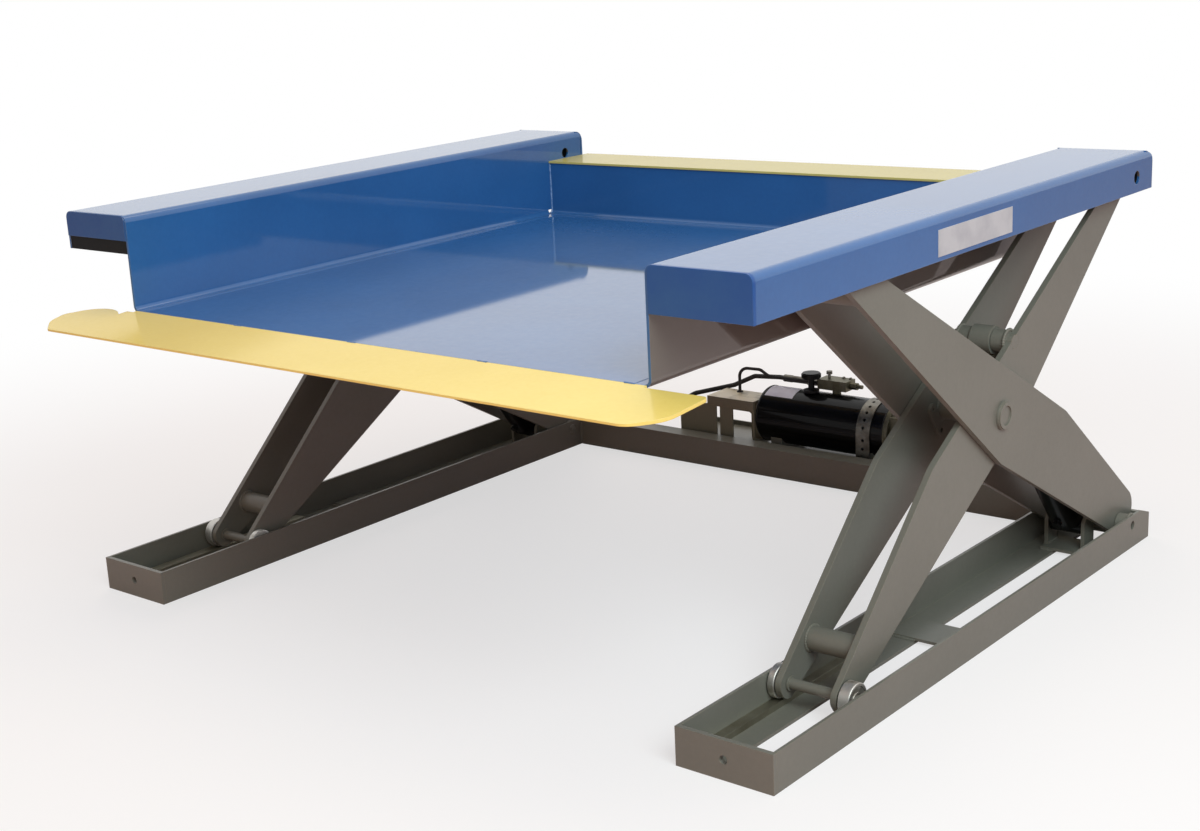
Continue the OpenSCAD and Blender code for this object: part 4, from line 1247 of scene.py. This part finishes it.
@dataclass
class Bases(SubAssembly):
    """Welds of the two floor frames and of the tube between them."""

    thick: float = 6.0
    end: float = 10.0
    boss: float = 23.0
    boss_off: float = 0.8
    lug_gap: float = 37.0
    lug_thick: float = 8.0
    lug_half: float = 22.0
    lug_y: float = 45.0
    lug_shift: float = -11.0
    tube_depth: float = 50.0
    strap_inset: float = 16.0
    bracket_inset: float = 44.0

    def __post_init__(self) -> None:
        """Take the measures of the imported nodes."""
        outer, self.height = extent("outer_rails")[1], extent("inner_rails")[1].z
        self.inner, self.outer, self.length = extent("rear_cross_tube")[1].x, outer.x, outer.y
        self.walls = self.inner + self.thick, self.outer - self.thick

    def across(self, guide: Guide, y: float, inset: float) -> None:
        """Run a seam over the foot of both rails, from near the wall to the edge of the foot.

        Args:
            guide: Guide that takes the seams.
            y: Where they run.
            inset: How far from the walls they begin.
        """
        z = self.thick + self.near
        guide.line((self.inner + inset, y, z), (self.inner + self.height, y, z))
        guide.line((self.outer - self.height, y, z), (self.outer - inset, y, z))

    def end_welds(self) -> None:
        """Weld the end plates inside the corners of the rails."""
        guide = Guide()
        front, back = self.end + self.off, self.length - self.end - self.off
        low, high, back_high = self.thick + 2.0, self.height - 3.0, self.height - 20.0
        inner, outer = self.walls
        for x in (inner + self.off, outer - self.off):
            guide.line((x, front, low), (x, front, high))
            guide.line((x, back, low), (x, back, back_high))
        gap, run, z = 4.0, 60.0, self.thick + 0.4
        for x in (inner + gap, outer - gap - run):
            guide.line((x, front, z), (x + run, front, z))
        guide.mirror()
        self.weld("end_plate_welds", guide, TAUPE, leg=3.0, seed=21.0)

    def strap_welds(self) -> None:
        """Weld the flat straps and the wear strips to the feet of the rails."""
        straps, strips = Guide(), Guide()
        low, high = extent("base_straps")
        for y in (low.y - self.near, high.y + self.near):
            self.across(straps, y, self.strap_inset)
        low, high = extent("base_wear_strips")
        x, end, z = high.x + self.near, 8.0, self.thick + self.off
        strips.stitches((x, low.y + end, z), (x, high.y - end, z), run=30.0, pitch=120.0)
        straps.mirror()
        strips.mirror()
        self.weld("strap_welds", straps, TAUPE, leg=3.2, seed=23.0)
        self.weld("wear_strip_stitches", strips, TAUPE, leg=2.4, seed=25.0)

    def tube_welds(self) -> None:
        """Weld the cross tube to the inner rails, and the tray to the tube."""
        guide = Guide()
        x, top = self.inner - self.off, self.height + self.off
        foot, turn, short = 2.0, 1.0, 12.0
        front, back = self.length - self.tube_depth - self.off, self.length - short
        guide.line((x, front, foot), (x, front, self.height), (x, front + turn, top), (x, back, top))
        guide.mirror()
        low, high = extent("power_unit_tray")
        end, y, z = 20.0, self.length + self.off, extent("motor")[0].z + self.off
        guide.stitches((low.x + end, y, z), (high.x - end, y, z), run=60.0, pitch=190.0)
        self.weld("cross_tube_welds", guide, TAUPE, leg=3.4, seed=27.0)

    def pivot_welds(self) -> None:
        """Weld the pivot bosses and the lugs of the cylinders."""
        guide = Guide()
        pivot, (low, high) = joint_place("right_lift"), extent("cylinder_brackets")
        for x in (self.walls[0] + self.boss_off, self.walls[1] - self.boss_off):
            guide.ring(x, pivot.y, pivot.z, self.boss + self.off)
        middle, y = (self.inner + self.outer) / 2 + self.lug_shift, low.y + self.lug_y
        face, back = self.lug_gap - self.off, self.lug_gap + self.lug_thick + self.off
        z = 2 * self.thick + self.off
        for x in (middle - back, middle - face, middle + face, middle + back):
            guide.line((x, y - self.lug_half, z), (x, y + self.lug_half, z))
        for edge in (low.y - self.near, high.y + self.near):
            self.across(guide, edge, self.bracket_inset)
        guide.mirror()
        self.weld("pivot_and_lug_welds", guide, TAUPE, leg=2.8, seed=29.0)

    def build(self) -> None:
        """Make every weld of the bases."""
        self.end_welds()
        self.strap_welds()
        self.tube_welds()
        self.pivot_welds()


@dataclass
class Scissor(SubAssembly):
    """Welds of the tubes between the plates of one double scissor. The sizes are those of the right one."""

    name: str = "right"
    hub: float = 25.0
    top_hub: float = 24.0
    spacer: float = 23.0
    collar: float = 22.0
    # how far a spacer lies back from the rollers and the eye from the middle of the arm, and how far
    # each of them stands above the middle line of the inner arm
    back: float = 95.0
    rise: float = 8.0
    eye_back: float = 131.0
    eye_rise: float = 62.0
    plate: float = 12.0
    plate_off: float = 0.9
    tube_off: float = 0.7

    def arm(self, arm: str, faces: tuple[float, float], tubes: Sequence[tuple[Vector, float]],
            seed: float) -> None:
        """Weld both ends of each tube of an arm.

        Args:
            arm: Which arm it is.
            faces: Faces of the plates that the tubes stand between.
            tubes: Middle and radius of each tube.
            seed: Number that settles the beads.
        """
        guide, side = Guide(), SIDES[self.name]
        for x in (faces[0] + self.plate_off, faces[1] - self.plate_off):
            for middle, radius in tubes:
                guide.ring(side * x, middle.y, middle.z, radius + self.tube_off)
        self.body = f"{self.name}_{arm}_arm"
        self.weld(f"{self.body}_welds", guide, TAUPE, leg=3.2, seed=seed + side)

    def build(self) -> None:
        """Weld the hubs, the middle tube, the spacers and the cylinder collars of both arms."""
        low, high = joint_place("right_lift"), joint_place("platform_level")
        along = joint_place("right_top_roller_spin") - low
        spacer = low + along * (1 - self.back / along.length)
        faces = extent("right_outer_arm_tubes")
        self.arm("outer", (faces[0].x, faces[1].x), ((low, self.hub), (spacer, self.spacer)), seed=31.0)
        front = joint_place("right_bottom_roller_spin")
        along, middle = front - high, (front + high) / 2
        across = Vector((0.0, along.z, -along.y)) / along.length
        spacer = high + along * (1 - self.back / along.length) + across * self.rise
        eye = middle - along.normalized() * self.eye_back + across * self.eye_rise
        faces = extent("right_inner_arm_plates")
        tubes = ((high, self.top_hub), (middle, self.collar), (spacer, self.spacer), (eye, self.collar))
        self.arm("inner", (faces[0].x + self.plate, faces[1].x - self.plate), tubes, seed=35.0)


@dataclass
class PowerUnit(SubAssembly):
    """Screws, fins, ferrules, seams and the blank label of the hydraulic power unit."""

    tank_radius: float = 72.0
    dome: float = 8.0
    flat_end: float = 2.0
    tank_sunk: float = 0.8
    label_from: float = 14.0
    label_to: float = 96.0
    label_turns: tuple[int, int, int] = (82, 127, 4)
    label_sunk: float = 0.4
    label_proud: float = 0.25
    # how far a head is sunk in what it holds
    sunk: float = 0.2
    strap_reach: float = 10.5
    strap_thick: float = 2.8
    end_circle: float = 40.0
    lid_x: tuple[float, ...] = (49.0, 101.0)
    lid_half: float = 20.0
    valve_x: tuple[float, ...] = (62.0, 42.0)
    valve_y: float = 38.0
    clip_x: tuple[float, ...] = (6.0, 66.0)
    clip_y: float = 1.8
    clip_z: float = 6.0
    fins_x: float = 8.0
    cap_down: float = 12.0
    hose_radius: float = 6.1
    valve_end: Point = (-109.0, 1598.0, 212.0)
    pump_end: Point = (234.0, 1610.0, 186.0)
    grommet_x: float = -256.0
    grommet_y: float = 27.0
    ferrule: Profile = (
        (0.0, 0.0), (8.2, 0.0), (9.4, 1.2), (9.4, 7.0), (8.6, 7.8), (8.6, 9.4), (9.4, 10.2), (9.4, 16.0),
        (8.6, 16.8), (8.6, 18.4), (9.4, 19.2), (9.4, 24.5), (7.4, 27.0), (0.0, 27.0))
    grommet: Profile = (
        (0.0, -3.6), (7.0, -3.6), (8.4, -2.4), (8.4, 1.6), (7.2, 2.8), (5.2, 3.4), (0.0, 3.4))

    def __post_init__(self) -> None:
        """Take the measures of the tank and of the motor, and the axis that they share."""
        self.tank, self.motor = extent("oil_tank"), extent("motor")
        low, high = self.tank
        self.y, self.z = (low.y + high.y) / 2, (low.z + high.z) / 2

    def round(self, x: float, radius: float, turn: float) -> Point:
        """Return the point at a radius and a turn in degrees round the axis."""
        a = math.radians(turn)
        return (x, self.y + radius * math.cos(a), self.z + radius * math.sin(a))

    def tank_seams(self) -> None:
        """Weld the two ends of the tank."""
        guide = Guide()
        for x in (self.tank[0].x + self.dome, self.tank[1].x - self.flat_end):
            guide.ring(x, self.y, self.z, self.tank_radius - self.tank_sunk, steps=72)
        self.weld("tank_seams", guide, BLACK, leg=1.7, seed=41.0, uneven=0.5)

    def label(self) -> None:
        """Lay the blank label over the crown of the tank."""
        x0, x1 = self.tank[0].x + self.label_from, self.tank[0].x + self.label_to
        near, far = self.tank_radius - self.label_sunk, self.tank_radius + self.label_proud
        rings = [[self.round(x, r, turn) for x, r in ((x0, near), (x1, near), (x1, far), (x0, far))]
                 for turn in range(*self.label_turns)]
        settle(closed_slab("blank_tank_label", rings), self.body, LABEL)

    def drive_screws(self) -> None:
        """Screw down the strap, the motor end, the lid of its box, the valve and the hose clips."""
        feet, end, lid, block, clips = (Guide() for _ in range(5))
        strap, valve, clip = extent("tank_strap"), extent("valve_block"), extent("hose_clips")
        reach, (near, far) = self.tank_radius + self.strap_reach, self.motor
        for y in (self.y - reach, self.y + reach):
            feet.seat(((strap[0].x + strap[1].x) / 2, y, near.z + self.strap_thick), UP)
        for turn in (45, 135, 225, 315):
            end.seat(self.round(far.x - self.sunk, self.end_circle, turn), RIGHT)
        for x in self.lid_x:
            for across in (-self.lid_half, self.lid_half):
                lid.seat((near.x + x, self.y + across, far.z - self.sunk), UP)
        for x in self.valve_x:
            block.seat((valve[1].x - x, valve[0].y + self.valve_y, valve[1].z - self.sunk), UP)
        for x in self.clip_x:
            clips.seat((clip[1].x - x, clip[0].y + self.clip_y, clip[1].z - self.clip_z), (0.0, 1.0, 0.0))
        clips.mirror()
        self.screw(Head.HEX, "strap_foot_screws", feet, radius=6.5, seed=1)
        self.screw(Head.HEX, "motor_end_screws", end, radius=4.5, seed=2)
        self.screw(Head.ROUND, "terminal_lid_screws", lid, radius=3.4, seed=3)
        self.screw(Head.ROUND, "valve_screws", block, radius=3.6, seed=4)
        self.screw(Head.ROUND, "hose_clip_screws", clips, radius=3.8, seed=5)

    def fins(self) -> None:
        """Cast the cooling fins round the motor, and the grip ribs round the breather cap."""
        motor, cap = Guide(), Guide()
        motor.seat((self.motor[0].x + self.fins_x, self.y, self.z), RIGHT)
        low, high = extent("breather_cap")
        cap.seat(((low.x + high.x) / 2, (low.y + high.y) / 2, high.z - self.cap_down), UP)
        self.rib("motor_fins", motor, BLACK, count=44, seed=1, Ring_radius=60.5, Rib_depth=7.0,
                 Rib_width=2.2, Rib_length=134.0)
        self.rib("breather_cap_ribs", cap, PLASTIC, count=30, seed=2, Ring_radius=23.8, Rib_depth=2.0,
                 Rib_width=1.7, Rib_length=9.0)

    def hose_ends(self) -> None:
        """Crimp a ferrule on both ends of each hose, and set the grommet of the cable."""
        (low, high), stand = extent("hydraulic_hoses"), extent("hose_stand")
        y, z = low.y + self.hose_radius, low.z + self.hose_radius
        for name, place, facing in (("right_elbow", (high.x + self.near, y, z), LEFT),
                                    ("left_elbow", (low.x - self.near, y, z), RIGHT),
                                    ("valve", self.valve_end, LEFT), ("pump", self.pump_end, UP)):
            settle(turned_part(f"{name}_ferrule", self.ferrule, place, facing), self.body, ZINC)
        place = (self.grommet_x, (stand[0].y + stand[1].y) / 2 + self.grommet_y, stand[1].z)
        settle(turned_part("cable_grommet", self.grommet, place, UP), self.body, HOSE)

    def build(self) -> None:
        """Make every piece of the power unit."""
        self.tank_seams()
        self.label()
        self.drive_screws()
        self.fins()
        self.hose_ends()


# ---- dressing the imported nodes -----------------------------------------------

WARDROBE = (
    (BLUE, "deck back_wall wing_front_caps wing_rear_caps deck_stiffeners"),
    (YELLOW, "ramp"),
    (YELLOW_DUSTY, "rear_ledge"),
    # the stand's top takes painted light
    (STAND_TAUPE, "hose_stand"),
    (BLACK, "oil_tank motor right_cylinder_barrel left_cylinder_barrel"),
    (RUBBER, "left_wing_bumper"),
    (HOSE, "hydraulic_hoses control_cable"),
    (PLASTIC, "breather_cap"),
    (ZINC, "tank_strap hose_fittings hose_clips valve_knob"),
    (ALLOY, "valve_block pump_body"),
    (BURNISHED, "base_wear_strips top_wear_strips"),
    (SHEET, "nameplate"),
    (CHROME, "right_cylinder_rod left_cylinder_rod"),
)
# turned parts: label, joint on their axis, colour, roughness, nodes
TURNED = (
    ("lower_pivot", "right_lift", "#cfccc6", 0.34, "base_pivot_shafts"),
    # the upper pivots are coloured near-black: painted shade of the wing holes that their ends show in
    ("upper_pivot", "platform_level", "#2b2f36", 0.5, "platform_shafts"),
    ("top_roller", "right_top_roller_spin", "#cfccc6", 0.5,
     "right_top_axle left_top_axle right_top_rollers left_top_rollers"),
    ("bottom_roller", "right_bottom_roller_spin", "#cfccc6", 0.5,
     "right_bottom_rollers left_bottom_rollers"),
)


def dress_frame() -> None:
    """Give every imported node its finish, that of the frames where no row names it, and log it."""
    # the hollow side of a wing looks at a line below its foot, so whatever faces down has its colour
    below = 10 * MM
    worn = dict.fromkeys(frame["nodes"], TAUPE)
    for finish, nodes in WARDROBE:
        worn.update(dict.fromkeys(nodes.split(), finish))
    for side in SIDES:
        low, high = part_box(f"{side}_wing")
        worn[f"{side}_wing"] = HollowEnamel(f"blue_and_taupe_enamel_{side}", "blue_paint", *BLUE_TONES,
                                            middle_x=(low.x + high.x) / 2, middle_z=low.z - below)
    for label, joint, colour, roughness, nodes in TURNED:
        centre = to_frame(joint_place(joint))
        steel = TurnedSteel(f"turned_steel_{label}", "bright_steel", colour, stain="#857b6c",
                            roughness=roughness, grain_mm=0.7, grain_depth_mm=0.02, axis_y=centre.y,
                            axis_z=centre.z)
        worn.update(dict.fromkeys(nodes.split(), steel))
    for node, obj in frame["nodes"].items():
        obj.data.materials.clear()
        obj.data.materials.append(worn[node].material())
        LOG.info("dressed %s in %s", node, worn[node].name)


def main() -> None:
    """Build the studio and the table's looks, and log each piece."""
    logging.basicConfig(level=logging.INFO, format="%(name)s: %(message)s")
    Studio().build()
    dress_frame()
    shop = Workshop()
    Platform(shop).build()
    Bases(shop).build()
    for name in SIDES:
        Scissor(shop, name=name).build()
    PowerUnit(shop).build()


if __name__ == "__main__":
    main()
